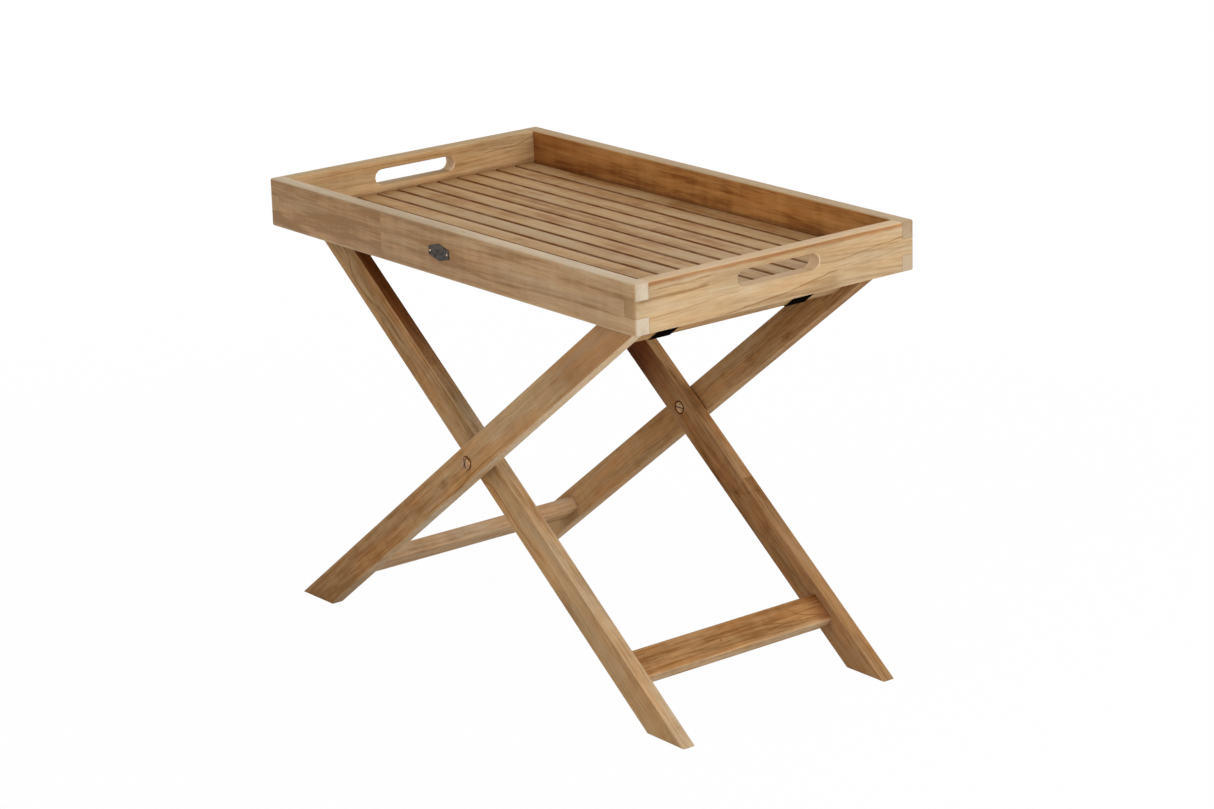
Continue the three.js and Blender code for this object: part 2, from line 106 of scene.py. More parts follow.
class Socket:
    """A value in a node tree. Arithmetic on it adds the Math nodes that work it out."""

    def __init__(self, nodes: "Nodes", link: NodeSocket) -> None:
        """Keeps the tree and the output socket."""
        self.nodes = nodes
        self.link = link

    def math(self, operation: str, *others: "Socket | float") -> "Socket":
        """A Math node's result, with this value first."""
        return self.nodes.math(operation, self, *others)

    def __add__(self, other: "Socket | float") -> "Socket":
        """Sum."""
        return self.math("ADD", other)

    __radd__ = __add__

    def __sub__(self, other: "Socket | float") -> "Socket":
        """Difference."""
        return self.math("SUBTRACT", other)

    def __rsub__(self, other: float) -> "Socket":
        """Difference with this value second."""
        return self.nodes.math("SUBTRACT", other, self)

    def __mul__(self, other: "Socket | float") -> "Socket":
        """Product."""
        return self.math("MULTIPLY", other)

    __rmul__ = __mul__

    def __truediv__(self, other: "Socket | float") -> "Socket":
        """Quotient."""
        return self.math("DIVIDE", other)

    def __pow__(self, other: float) -> "Socket":
        """Power."""
        return self.math("POWER", other)

    def __abs__(self) -> "Socket":
        """Size without its sign."""
        return self.math("ABSOLUTE")

    def step(self, low: float, high: float) -> "Socket":
        """Smooth step between 0 and 1.

        Args:
            low: Where the step is 0.
            high: Where the step is 1. It may be the smaller of the two.

        Returns:
            The step.
        """
        if low > high:
            return 1 - self.step(high, low)
        values = {"Value": self, "From Min": low, "From Max": high}
        return self.nodes.value("ShaderNodeMapRange", {"interpolation_type": "SMOOTHSTEP"}, values)


Value = Socket | float | tuple


class Nodes:
    """A node tree and the calls that add nodes to it."""

    def __init__(self, tree: NodeTree) -> None:
        """Empties the tree and keeps it."""
        self.tree = tree
        tree.nodes.clear()

    def node(self, kind: str, settings: dict | None = None, values: dict | None = None) -> Node:
        """Adds one node.

        Args:
            kind: The node's type.
            settings: Its own settings, set first. "stops" gives a colour ramp's positions and
                colours, and "smooth" draws its curve through them.
            values: A value or a Socket for its inputs, by name or number.

        Returns:
            The node.
        """
        made = self.tree.nodes.new(kind)
        for key, value in (settings or {}).items():
            if key == "stops":
                ramp = made.color_ramp
                while len(ramp.elements) < len(value):
                    ramp.elements.new(1.0)
                for element, (place, colour) in zip(ramp.elements, value):
                    element.position = place
                    element.color = (*colour, 1.0)
            elif key == "smooth":
                made.color_ramp.interpolation = "CARDINAL"
            else:
                setattr(made, key, value)
        for key, value in (values or {}).items():
            if isinstance(value, Socket):
                self.tree.links.new(value.link, made.inputs[key])
            elif isinstance(value, tuple) and made.inputs[key].type == "RGBA":
                made.inputs[key].default_value = (*value, 1.0)
            else:
                made.inputs[key].default_value = value
        return made

    def value(self, kind: str, settings: dict | None = None, values: dict | None = None,
              out: str | int = 0) -> Socket:
        """Adds one node as above and gives one of its outputs, by name or number."""
        return Socket(self, self.node(kind, settings, values).outputs[out])

    def math(self, operation: str, *values: Value) -> Socket:
        """The result of a Math node on the values in their order."""
        return self.value("ShaderNodeMath", {"operation": operation}, dict(enumerate(values)))

    def show(self, output: str, hidden: Socket, shown: Socket, share: Value = 1.0) -> None:
        """Ends the tree with two shaders, one of them for the camera's rays and mirrored ones.

        The greatest of Is Camera Ray, Is Glossy Ray and Is Transmission Ray, times the share, is
        how much of it there is.

        Args:
            output: The last node's type.
            hidden: The shader for all other rays.
            shown: The shader for the camera.
            share: How much of it the camera gets.
        """
        rays = self.node("ShaderNodeLightPath")
        kinds = ("Camera", "Glossy", "Transmission")
        camera, glossy, clear = (Socket(self, rays.outputs[f"Is {kind} Ray"]) for kind in kinds)
        seen = camera.math("MAXIMUM", glossy).math("MAXIMUM", clear) * share
        mixed = self.value("ShaderNodeMixShader", None, {0: seen, 1: hidden, 2: shown})
        self.node(output, None, {"Surface": mixed})


class Shade(Nodes):
    """The node tree of one procedural material."""

    def __init__(self, name: str) -> None:
        """Starts a material.

        Args:
            name: Its name.
        """
        self.material = bpy.data.materials.new(name)
        self.material.use_nodes = True
        super().__init__(self.material.node_tree)

    def vector(self, operation: str, *values: Value, out: str = "Vector") -> Socket:
        """A Vector Math node's result. Its output is "Value" for a dot product or a length."""
        return self.value("ShaderNodeVectorMath", {"operation": operation}, dict(enumerate(values)), out)

    def mix(self, factor: Value, a: Value, b: Value, blend: str = "MIX") -> Socket:
        """Mixes two colours. The factor is the share of the second."""
        settings = {"data_type": "RGBA", "blend_type": blend, "clamp_factor": True}
        return self.value("ShaderNodeMix", settings, {0: factor, 6: a, 7: b}, 2)

    def times(self, colour: Value, ratio: Value) -> Socket:
        """A colour times another."""
        return self.mix(1.0, colour, ratio, "MULTIPLY")

    def noise(self, where: Socket, scales: Colour, seed: float, detail: float, rough: float = 0.5) -> Socket:
        """Smooth noise, stretched where its scale is smaller in one direction.

        Args:
            where: The coordinates.
            scales: Waves a metre in each direction.
            seed: Moves the noise, so that two uses differ.
            detail: Its octaves.
            rough: How strong the finer octaves are.

        Returns:
            A value from 0 to 1, mostly near a half.
        """
        offset = (seed * 1.7, seed * 3.1 + 11.0, seed * 5.3 + 23.0)
        stretched = self.vector("MULTIPLY_ADD", where, scales, offset)
        values = {"Vector": stretched, "Scale": 1.0, "Detail": detail, "Roughness": rough}
        return self.value("ShaderNodeTexNoise", {"noise_dimensions": "3D"}, values, "Fac")

    def coordinates(self, kind: str = "Object") -> Socket:
        """One of Texture Coordinate's outputs."""
        return self.value("ShaderNodeTexCoord", out=kind)

    def parts(self, where: Socket) -> list[Socket]:
        """The three parts of a vector."""
        split = self.node("ShaderNodeSeparateXYZ", None, {"Vector": where})
        return [Socket(self, part) for part in split.outputs]

    def bump(self, height: Socket, strength: float, distance: float) -> Socket:
        """The normal bent by a height from 0 to 1, where 1 is this distance in metres."""
        values = {"Strength": strength, "Distance": distance, "Height": height}
        return self.value("ShaderNodeBump", None, values)

    def surface(self, values: dict) -> Material:
        """Ends the material with a Principled shader.

        Args:
            values: The shader's inputs by name.

        Returns:
            The material.
        """
        shader = self.value("ShaderNodeBsdfPrincipled", None, values)
        self.node("ShaderNodeOutputMaterial", None, {"Surface": shader})
        return self.material


@dataclass(frozen=True)
class Board:
    """A board of the frame, measured in its own three directions."""

    name: str
    middle: Vector
    half: Vector
    grain: Vector
    width: Vector
    depth: Vector

    @classmethod
    def measured(cls, name: str, grain: Vector, depth: Vector) -> "Board":
        """Measures a board from the corners of its node's mesh.

        Args:
            name: The node's name.
            grain: The direction along the grain.
            depth: The direction through its thickness.

        Returns:
            The board.
        """
        width = depth.cross(grain).normalized()
        axes = np.array([grain[:], width[:], depth[:]])
        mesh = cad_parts[name].data
        points = np.empty(len(mesh.vertices) * 3)
        mesh.vertices.foreach_get("co", points)
        along = points.reshape(-1, 3) @ axes.T
        low, high = along.min(0), along.max(0)
        return cls(name, Vector(axes.T @ ((low + high) / 2)), Vector((high - low) / 2), grain, width, depth)

    def place(self, point: Vector) -> tuple[float, float]:
        """A point's place along and across the board, from its middle."""
        return (point - self.middle).dot(self.grain), (point - self.middle).dot(self.width)

    def coordinates(self, shade: Shade) -> Socket:
        """Object coordinates, turned and centred so that they run along, across and through the board.

        Args:
            shade: The material.

        Returns:
            The coordinates.
        """
        turn = Matrix([self.grain, self.width, self.depth])
        values = {"Rotation": turn.to_euler("XYZ")[:], "Location": (-(turn @ self.middle))[:]}
        values["Vector"] = shade.coordinates()
        return shade.value("ShaderNodeMapping", {"vector_type": "POINT"}, values)


@dataclass(frozen=True)
class Vein:
    """A dark line in the grain, with its sizes in millimetres.

    It runs through points along and across the board, from the figure's origin. Past it, towards
    larger places across, the wood is darker by the share beyond, or before it if that is negative.
    """

    points: tuple[tuple[float, float], ...]
    half_width: float = 1.3
    strength: float = 0.25
    beyond: float = 0.0


@dataclass(frozen=True)
class StainAndShade:
    """A place where the wood is darker, such as beside a joint, with its sizes in millimetres.

    It grows from start to end along one axis of the board: 0 along the grain, 1 across it and 2
    through it. The shares say how strong it is on the wide faces and on the narrow ones. Some are
    real stains, such as beside a joint; others are painted shade, such as under the tray and where
    parts meet.
    """

    axis: int
    start: float
    end: float
    wide: float
    narrow: float
    ragged: float = 3.0


@dataclass(frozen=True)
class Figure:
    """How one board was cut from the log, and what is particular about it.

    The pith is a place across and through the board, and the origin one along and across it, in
    metres. From the origin, in millimetres, count veins, stains and painted shade, knots (place
    along, place across, radius) and the ring of painted shade and grime round the pivot (two radii).
    A splice is a place along the board in metres, with how far its teeth reach and how much darker
    the wood is towards it. The fade is how much lighter the board gets in a metre; on three of the
    legs it is painted shade from the tray above. The end fade is how much darker its end grain gets
    in a metre across.
    """

    pith: tuple[float, float]
    slant: float
    seed: float
    splice: float | None = None
    splice_teeth: float = 0.0
    splice_dim: float = 0.0
    origin: tuple[float, float] = (0.0, 0.0)
    knots: tuple[tuple[float, float, float], ...] = ()
    veins: tuple[Vein, ...] = ()
    stains_and_shade: tuple[StainAndShade, ...] = ()
    ring: tuple[float, float] | None = None
    fade: float = 0.0
    end_fade: float = 0.0


@dataclass(frozen=True)
class Teak:
    """Oiled teak. Colours are linear, and shares say how far each part of the figure carries.

    The flank is the tint of the faces across the width, partly their own colour and partly painted light for
    how the lamps fall on those faces; they lose their figure by the plain share. A slat's sides in the gaps
    take a dark colour that is painted shade in the gaps, and a slot's ends take the cut colour, partly their
    paler end grain and partly painted light.
    """

    body: Colour
    contrast: float
    ring_share: float
    streak_share: float
    fleck_share: float
    cloud_share: float
    # Tint of the faces across the width: partly their own colour, partly painted light.
    flank: Colour = (1.0, 1.0, 1.0)
    flank_plain: float = 0.0
    ripple_share: float = 0.3
    hue_share: float = 0.6
    wear_and_highlight_share: float = 0.22
    end_share: float = 0.3
    specular: float = 0.28
    roughness: float = 0.5
    ring_width: float = 5.2 * MM
    wander: float = 12.0 * MM
    knot_push: float = 14.0 * MM
    gap_shade_colour: Colour | None = None
    cut_colour_and_light: Colour | None = None
    end_grain: Colour = (0.57, 0.47, 0.345)
    pale_ratio: Colour = (1.24, 1.36, 1.56)
    dark_ratio: Colour = (0.60, 0.50, 0.38)
    stain_and_shade_ratio: Colour = (0.34, 0.22, 0.14)
    cool_ratio: Colour = (0.94, 1.03, 1.1)
    warm_ratio: Colour = (1.07, 0.97, 0.8)

    def scaled(self, ratio: Colour) -> Colour:
        """The body colour times a ratio that the contrast weakens or strengthens."""
        return tuple(c * r ** self.contrast for c, r in zip(self.body, ratio))


class Wood:
    """The look of one board, worked out at each point from its finish, its place and its figure."""

    def __init__(self, finish: Teak, board: Board, figure: Figure) -> None:
        """Starts the board's material.

        Args:
            finish: Its kind of teak.
            board: Its place and directions.
            figure: How it was cut.
        """
        self.finish, self.board, self.figure = finish, board, figure
        self.shade = Shade(f"teak_{board.name}")
        self.raw = board.coordinates(self.shade)
        self.parts = self.shade.parts(self.raw)
        self.placed = [(part - start) / MM for part, start in zip(self.parts, (*figure.origin, 0.0))]
        self.where, self.seam = self.spliced()

    def noise(self, grain: Grain, where: Socket) -> Socket:
        """One of the wood's noises at a point, from 0 to 1."""
        along, across, seed, detail, roughness = grain.value
        return self.shade.noise(where, (along, across, across), self.figure.seed + seed, detail, roughness)

    def wave(self, grain: Grain) -> Socket:
        """One of the wood's noises at the point in the log, around 0."""
        return self.noise(grain, self.where) - 0.5

    def spliced(self) -> tuple[Socket, Socket | float]:
        """Moves the figure along the log past a splice and draws its zigzag seam.

        A triangle wave across the board moves the splice by the length of its teeth. A thin line
        lies on it, and the wood before it is darker.

        Returns:
            The point in the log, and what the seam takes from the tone.
        """
        figure, shade = self.figure, self.shade
        if figure.splice is None:
            return self.raw, 0.0
        zigzag = shade.math("PINGPONG", self.parts[1] + 1.0, 4.0 * MM) * figure.splice_teeth
        past = self.parts[0] + zigzag - figure.splice
        beyond = past.step(-0.3 * MM, 0.3 * MM)
        line = 1 - abs(past).step(0.2 * MM, 1.1 * MM)
        before = past.step(-30.0 * MM, 0.0) * (1 - beyond)
        seam = line * 0.1 + before * 0.08 + abs(past).step(0.3, 0.01) * figure.splice_dim
        elsewhere = {0: beyond * 0.31, 1: beyond * 0.013, 2: beyond * 0.02}
        return shade.vector("ADD", self.raw, shade.value("ShaderNodeCombineXYZ", None, elsewhere)), seam

    def rings(self, knots: Socket | float) -> Socket:
        """Works out the late-wood lines.

        Growth rings are circles round a pith line beside the board, bent by noise and pushed aside at
        knots. The sine of the radius over the ring width, sharpened, gives thin lines that more noise
        fades in and out.

        Args:
            knots: How near the point is to a knot, from 0 to 1.

        Returns:
            The lines, from 0 to 1.
        """
        finish, figure = self.finish, self.figure
        along, across, through = self.shade.parts(self.where)
        bend = self.wave(Grain.BEND) * finish.wander
        dx = across - figure.pith[0] + along * figure.slant + bend + knots * finish.knot_push
        dz = through - figure.pith[1] + bend
        radius = (dx * dx + dz * dz).math("SQRT")
        phase = radius * (TURN / finish.ring_width) + self.wave(Grain.DRIFT) * 7.0
        late = (phase.math("SINE") * 0.5 + 0.5) ** 2.6
        return late * self.noise(Grain.BREAKS, self.where).step(0.35, 0.68)

    def vein(self, line: Vein, across: Socket) -> Socket:
        """Works out how much darker a vein makes the wood.

        A smooth curve through the vein's points gives its place across for each place along. The
        distance from it gives the line, and the sign of that the wood past it.

        Args:
            line: The vein.
            across: Millimetres across the board.

        Returns:
            What to take from the tone.
        """
        start, length = line.points[0][0], line.points[-1][0] - line.points[0][0]
        sides = [side for _, side in line.points]
        base, reach = min(sides), max(max(sides) - min(sides), 0.1)
        stops = [((place - start) / length, ((side - base) / reach,) * 3) for place, side in line.points]
        share = (self.placed[0] - start) / length
        curve = self.shade.value("ShaderNodeValToRGB", {"stops": stops, "smooth": True}, {0: share})
        gap = across - curve * reach - base
        dark = abs(gap).step(line.half_width, line.half_width * 0.15) * line.strength
        if line.beyond:
            dark = dark + (gap * math.copysign(1.0, line.beyond)).step(-0.5, 2.5) * abs(line.beyond)
        return dark * share.step(-0.05, 0.06) * share.step(1.05, 0.94)

    def tone(self) -> tuple[Socket, Socket, Socket]:
        """Works out how light the wood is.

        Late-wood lines, streaks, flecks, clouds, ripples, pores and veins add up around a half. A knot
        is a drop of arcs round an eye, longer along the grain than across it.

        Returns:
            The tone, the late-wood lines and the height for the bump.
        """
        finish, figure = self.finish, self.figure
        along, across, _ = self.placed
        rough = self.wave(Grain.ROUGH)
        near, eyes = 0.0, 0.0
        for place, side, radius in figure.knots:
            squares = ((along - place) / 1.7) ** 2.0 + (across - side) ** 2.0
            reach = squares.math("SQRT") + rough * (radius * 2.2)
            arcs = (reach * (TURN / 2.6)).math("SINE") * 0.5 + 0.5
            eye = arcs * reach.step(radius * 1.5, radius * 0.3) * 0.3 + reach.step(1.6, 0.5) * 0.25
            near = reach.step(radius * 2.4, 0.0).math("MAXIMUM", near)
            eyes = eye + eyes
        late, streak, fleck = self.rings(near), self.wave(Grain.STREAK), self.wave(Grain.FLECK)
        pore = self.noise(Grain.PORE, self.where).step(0.54, 0.7)
        tone = 0.5 - late * finish.ring_share + streak * finish.streak_share - pore * 0.11
        tone = tone + self.wave(Grain.CLOUD) * finish.cloud_share + fleck * finish.fleck_share
        tone = tone + self.wave(Grain.RIPPLE) * finish.ripple_share
        tone = tone + along * (figure.fade * MM) - eyes - self.seam
        for line in figure.veins:
            tone = tone - self.vein(line, across + rough * 3.0)
        return tone, late, late * 0.35 + streak * 0.5 + fleck * 0.4 - pore * 0.6

    def stained_and_shaded(self, colour: Socket, flank: Socket) -> Socket:
        """Darkens a colour at the board's stains and painted shade, and in the ring of painted shade and
        grime round its pivot.

        Args:
            colour: The colour so far.
            flank: 1 on the narrow faces and 0 on the wide ones.

        Returns:
            The darkened colour.
        """
        shade, figure = self.shade, self.figure
        if not figure.stains_and_shade and figure.ring is None:
            return colour
        rough = self.noise(Grain.SPREAD, self.raw) - 0.5
        deep = shade.times(colour, self.finish.stain_and_shade_ratio)
        # Each mark is a real stain or painted shade, as the board's figure lists it.
        for stain_and_shade in figure.stains_and_shade:
            grown = (self.placed[stain_and_shade.axis] + rough * (2 * stain_and_shade.ragged)).step(stain_and_shade.start, stain_and_shade.end)
            colour = shade.mix(grown * (flank * (stain_and_shade.narrow - stain_and_shade.wide) + stain_and_shade.wide), colour, deep)
        # The ring round the pivot is painted shade and grime.
        if figure.ring is not None:
            inner, outer = figure.ring
            along, across, _ = self.placed
            reach = (along * along + across * across).math("SQRT")
            around = reach.step(inner - 0.5, inner) * reach.step(outer + 0.5, outer - 0.3)
            colour = shade.mix(around * (rough + 0.8), colour, deep)
        return colour

    def material(self) -> Material:
        """Puts the board's material together.

        The tone picks a colour between dark, body and pale, and noise makes it warmer or cooler. Faces
        across the width have a tint that is partly painted light, long edges are paler with wear and a
        painted highlight, slot walls are painted paler, slats' sides are painted shade in the gaps, and
        the two ends show end grain.

        Returns:
            The material.
        """
        shade, finish, board, parts = self.shade, self.finish, self.board, self.parts
        tone, late, height = self.tone()
        pale = finish.scaled(finish.pale_ratio)
        stops = [(0.12, finish.scaled(finish.dark_ratio)), (0.5, finish.body), (0.86, pale)]
        colour = shade.value("ShaderNodeValToRGB", {"stops": stops}, {0: tone})
        warm = self.noise(Grain.WARMTH, self.where).step(0.3, 0.7)
        hue = shade.mix(warm, finish.cool_ratio, finish.warm_ratio)
        colour = shade.mix(finish.hue_share, colour, shade.times(colour, hue))

        normal = shade.coordinates("Normal")
        facing_width = abs(shade.vector("DOT_PRODUCT", normal, board.width[:], out="Value"))
        facing_grain = abs(shade.vector("DOT_PRODUCT", normal, board.grain[:], out="Value"))
        # Faces across the width get the flank tint: partly their own colour, partly painted light.
        flank = facing_width.step(0.3, 0.75)
        plain = shade.mix(finish.flank_plain, colour, finish.body)
        colour = shade.mix(flank, colour, shade.times(plain, finish.flank))
        low = board.half.z - abs(parts[2])
        if finish.gap_shade_colour:
            # The slat's sides below the top edge take a dark colour: painted shade in the gaps between slats.
            deep = facing_width.step(0.15, 0.5) * low.step(0.05 * MM, 0.4 * MM)
            colour = shade.mix(deep, colour, finish.gap_shade_colour)
        # Long edges paler: partly wear, partly a painted highlight on the rounded edges.
        worn = shade.math("MAXIMUM", board.half.y - abs(parts[1]), low).step(4.0 * MM, 0.6 * MM)
        patchy = self.noise(Grain.WEAR_AND_HIGHLIGHT, self.raw).step(0.3, 0.7)
        colour = shade.mix(worn * (patchy * finish.wear_and_highlight_share + 0.05), colour, pale)
        colour = self.stained_and_shaded(colour, flank)

        speck = self.noise(Grain.SPECK, self.raw).step(0.5, 0.75)
        patch = self.noise(Grain.PATCH, self.raw).step(0.4, 0.7)
        dim = parts[1] * self.figure.end_fade + (late * 0.4 + speck + patch) * finish.end_share
        dark_end = tuple(c * r for c, r in zip(finish.end_grain, finish.dark_ratio))
        at_end = (board.half.x - abs(parts[0])).step(6.0 * MM, 3.0 * MM)
        # The slot's walls are painted paler: partly the end grain's own colour, partly painted light.
        if finish.cut_colour_and_light:
            inside = facing_grain.step(0.15, 0.6) * (1 - at_end) * (patchy * 0.3 + 0.7)
            colour = shade.mix(inside * 0.9, colour, finish.cut_colour_and_light)
        ends = shade.mix(dim, finish.end_grain, dark_end)
        colour = shade.mix(facing_grain.step(0.55, 0.85) * at_end, colour, ends)
        return shade.surface({
            "Base Color": colour,
            "Roughness": finish.roughness + height * 0.3 - worn * 0.06,
            "Normal": shade.bump(height, 0.35, 0.35 * MM),
            "IOR": 1.45,
            "Specular IOR Level": finish.specular,
        })


@dataclass(frozen=True)
class Webbing:
    """Black polypropylene webbing, patterned on a UV map in metres across and along."""

    thread: Colour = (0.0036, 0.0022, 0.0016)
    worn: Colour = (0.006, 0.0048, 0.004)
    rib_pitch: float = 1.6 * MM
    cord_pitch: float = 2.4 * MM
    roughness: float = 0.8
    relief: float = 0.25 * MM

    def material(self, name: str) -> Material:
        """Makes a weave of ribs across the strap and cords along it.

        The height is the product of two rectified sines, one across and one along, shifted by half a
        rib on every second cord.

        Args:
            name: The material's name.

        Returns:
            The material.
        """
        shade = Shade(name)
        where = shade.coordinates("UV")
        across, along, _ = shade.parts(where)
        cord = abs((across * (math.pi / self.cord_pitch)).math("SINE"))
        other = (across / self.cord_pitch).math("FLOOR") * (math.pi / 2)
        weave = cord * abs((along * (math.pi / self.rib_pitch) + other).math("SINE"))
        fuzz = shade.noise(where, (900.0, 260.0, 1.0), 1.0, 3.0, 0.7)
        wear = shade.noise(where, (70.0, 18.0, 1.0), 5.0, 2.0).step(0.42, 0.72)
        rubbed = weave.step(0.55, 1.0) * (wear * 0.6 + 0.25) + fuzz * 0.1
        return shade.surface({
            "Base Color": shade.mix(rubbed, self.thread, self.worn),
            "Roughness": self.roughness + fuzz * 0.2,
            "Specular IOR Level": 0.0,
            "Normal": shade.bump(weave + fuzz * 0.25, 0.6, self.relief),
        })


@dataclass(frozen=True)
class Metal:
    """A worn metal: clean where it is rubbed, dull and darker in patches."""

    clean: Colour
    dull: Colour
    roughness: float = 0.32
    dull_roughness: float = 0.55
    patch_scale: float = 260.0
    dull_share: float = 0.5
    metallic: float = 1.0
    slot_turn: float | None = None
    slot_half_width: float = 0.8 * MM
    slot_shade_and_grime: Colour = (0.05, 0.018, 0.006)
    relief: float = 0.2 * MM

    def material(self, name: str) -> Material:
        """Makes the metal from patches of tarnish and fine scratches.

        The places within half the driver's slot's width of its middle line, which stands at the slot's
        turn about the pivots' axis, are painted dark: painted shade in the slot, with some grime.

        Args:
            name: The material's name.

        Returns:
            The material.
        """
        shade = Shade(name)
        where, scale = shade.coordinates(), self.patch_scale
        patch = shade.noise(where, (scale, scale, scale), 2.0, 3.0, 0.6)
        dull = patch.step(0.72 - self.dull_share * 0.5, 0.78 - self.dull_share * 0.2)
        scratch = shade.noise(where, (scale * 3, scale * 40, scale * 9), 5.0, 2.0, 0.6)
        colour, metallic = shade.mix(dull * 0.85 + scratch * 0.15, self.clean, self.dull), self.metallic
        if self.slot_turn is not None:
            pivot = middle("pivot_washer_front")
            x, _, z = shade.parts(where)
            gap = abs((x - pivot.x) * math.sin(self.slot_turn) + (z - pivot.z) * math.cos(self.slot_turn))
            # Painted shade and grime in the driver's slot.
            in_slot = gap.step(self.slot_half_width + 0.1 * MM, self.slot_half_width - 0.2 * MM)
            colour, metallic = shade.mix(in_slot, colour, self.slot_shade_and_grime), (1 - in_slot) * self.metallic
        return shade.surface({
            "Base Color": colour,
            "Roughness": dull * (self.dull_roughness - self.roughness) + self.roughness + scratch * 0.1,
            "Metallic": metallic,
            "Normal": shade.bump(patch * 0.5 + scratch * 0.5, 0.18, self.relief),
        })


def ring_faces(rows: int, columns: int) -> np.ndarray:
    """Quads between rings of points that are numbered ring by ring.

    Args:
        rows: How many rings there are.
        columns: How many points each ring has.

    Returns:
        An array of four point numbers a quad.
    """
    here = np.arange(rows * columns).reshape(rows, columns)
    right = np.roll(here, -1, axis=1)
    return np.stack([here[:-1], right[:-1], right[1:], here[1:]], axis=-1).reshape(-1, 4)


def mesh_object(name: str, points: np.ndarray, faces: list, material: Material) -> Object:
    """Makes a smooth-shaded mesh object at the origin.

    Args:
        name: The object's name.
        points: Its points, with x, y and z last.
        faces: Lists of point numbers.
        material: Its material.

    Returns:
        The object, in the scene.
    """
    mesh = bpy.data.meshes.new(name)
    mesh.from_pydata(points.reshape(-1, 3).tolist(), [], faces)
    mesh.polygons.foreach_set("use_smooth", np.ones(len(mesh.polygons), bool))
    mesh.materials.append(material)
    mesh.update()
    made = bpy.data.objects.new(name, mesh)
    bpy.context.scene.collection.objects.link(made)
    return made


def closed_object(name: str, rings: np.ndarray, material: Material) -> Object:
    """Makes an object of rings joined one to the next, capped at both ends and turned outwards.

    Args:
        name: The object's name.
        rings: The points, by ring and by place round it.
        material: Its material.

    Returns:
        The object, in the scene.
    """
    rows, columns, _ = rings.shape
    caps = np.arange(rows * columns).reshape(rows, columns)[[0, -1]]
    made = mesh_object(name, rings, [*ring_faces(rows, columns).tolist(), *caps.tolist()], material)
    shell = bmesh.new()
    shell.from_mesh(made.data)
    bmesh.ops.recalc_face_normals(shell, faces=shell.faces)
    shell.to_mesh(made.data)
    shell.free()
    return made


@cache
def soft_shading() -> NodeTree:
    """Node group for a modifier that joins loose triangles and shades rounded edges smoothly.

    Returns:
        The node group. Edges that turn by more than SMOOTH_ANGLE stay sharp.
    """
    group = bpy.data.node_groups.new("soft_shading", "GeometryNodeTree")
    for way in ("INPUT", "OUTPUT"):
        group.interface.new_socket("Geometry", in_out=way, socket_type="NodeSocketGeometry")
    nodes, smooth = Nodes(group), "GeometryNodeSetShadeSmooth"
    loose = {0: nodes.value("NodeGroupInput"), "Distance": 0.01 * MM}
    merged = nodes.value("GeometryNodeMergeByDistance", None, loose)
    faces = nodes.value(smooth, {"domain": "FACE"}, {0: merged, "Shade Smooth": True})
    angle = nodes.value("GeometryNodeInputMeshEdgeAngle")
    greater = {"data_type": "FLOAT", "operation": "GREATER_THAN"}
    sharp = nodes.value("FunctionNodeCompare", greater, {0: angle, 1: SMOOTH_ANGLE})
    edges = nodes.value(smooth, {"domain": "EDGE"}, {0: faces, "Selection": sharp, "Shade Smooth": False})
    nodes.node("NodeGroupOutput", None, {0: edges})
    return group


def dress(name: str, material: Material) -> None:
    """Gives a node of the frame its finish and smooth shading.

    Args:
        name: The node's name.
        material: Its finish.
    """
    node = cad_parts[name]
    node.data.materials.clear()
    node.data.materials.append(material)
    node.modifiers.new("soft_shading", "NODES").node_group = soft_shading()
    log.info("%s: %s", name, material.name)


def dress_board(name: str, grain: Vector, depth: Vector, finish: Teak, figure: Figure) -> None:
    """Gives a board its finish. The grain and the depth are the board's directions."""
    dress(name, Wood(finish, Board.measured(name, grain, depth), figure).material())


HONEY = Teak(
    (0.48, 0.33, 0.186), 1.0, ring_share=0.22, streak_share=0.38, fleck_share=0.55, cloud_share=0.7,
    ripple_share=0.12, specular=0.1, flank=(1.27, 1.27, 1.25), flank_plain=0.6,
    end_grain=(0.41, 0.25, 0.12), cut_colour_and_light=(0.90, 0.67, 0.42),
)
GREY_BROWN = Teak(
    (0.45, 0.272, 0.135), 0.9, ring_share=0.15, streak_share=0.6, fleck_share=0.7, cloud_share=1.05,
    hue_share=0.45, flank=(1.2, 1.48, 1.88), flank_plain=0.4,
)
RED_BROWN = Teak(
    (0.45, 0.195, 0.054), 1.1, ring_share=0.15, streak_share=0.7, fleck_share=0.9, cloud_share=1.7,
    ripple_share=0.4, hue_share=0.5, specular=0.12, flank=(0.96, 1.45, 2.55), flank_plain=0.75,
    end_grain=(0.46, 0.345, 0.225),
)
FLOOR = Teak(
    (0.455, 0.275, 0.124), 0.9, ring_share=0.12, streak_share=0.8, fleck_share=0.8, cloud_share=2.1,
    ripple_share=0.4, hue_share=0.35, wear_and_highlight_share=0.55, specular=0.1, pale_ratio=(1.06, 1.18, 1.42),
    dark_ratio=(0.66, 0.50, 0.31), gap_shade_colour=(0.21, 0.062, 0.007), stain_and_shade_ratio=(0.40, 0.215, 0.06),
)
LEG = Teak(
    (0.395, 0.228, 0.10), 0.95, ring_share=0.1, streak_share=0.5, fleck_share=0.9, cloud_share=1.0,
    hue_share=0.9, wear_and_highlight_share=0.5, specular=0.03, stain_and_shade_ratio=(0.34, 0.15, 0.04),
)


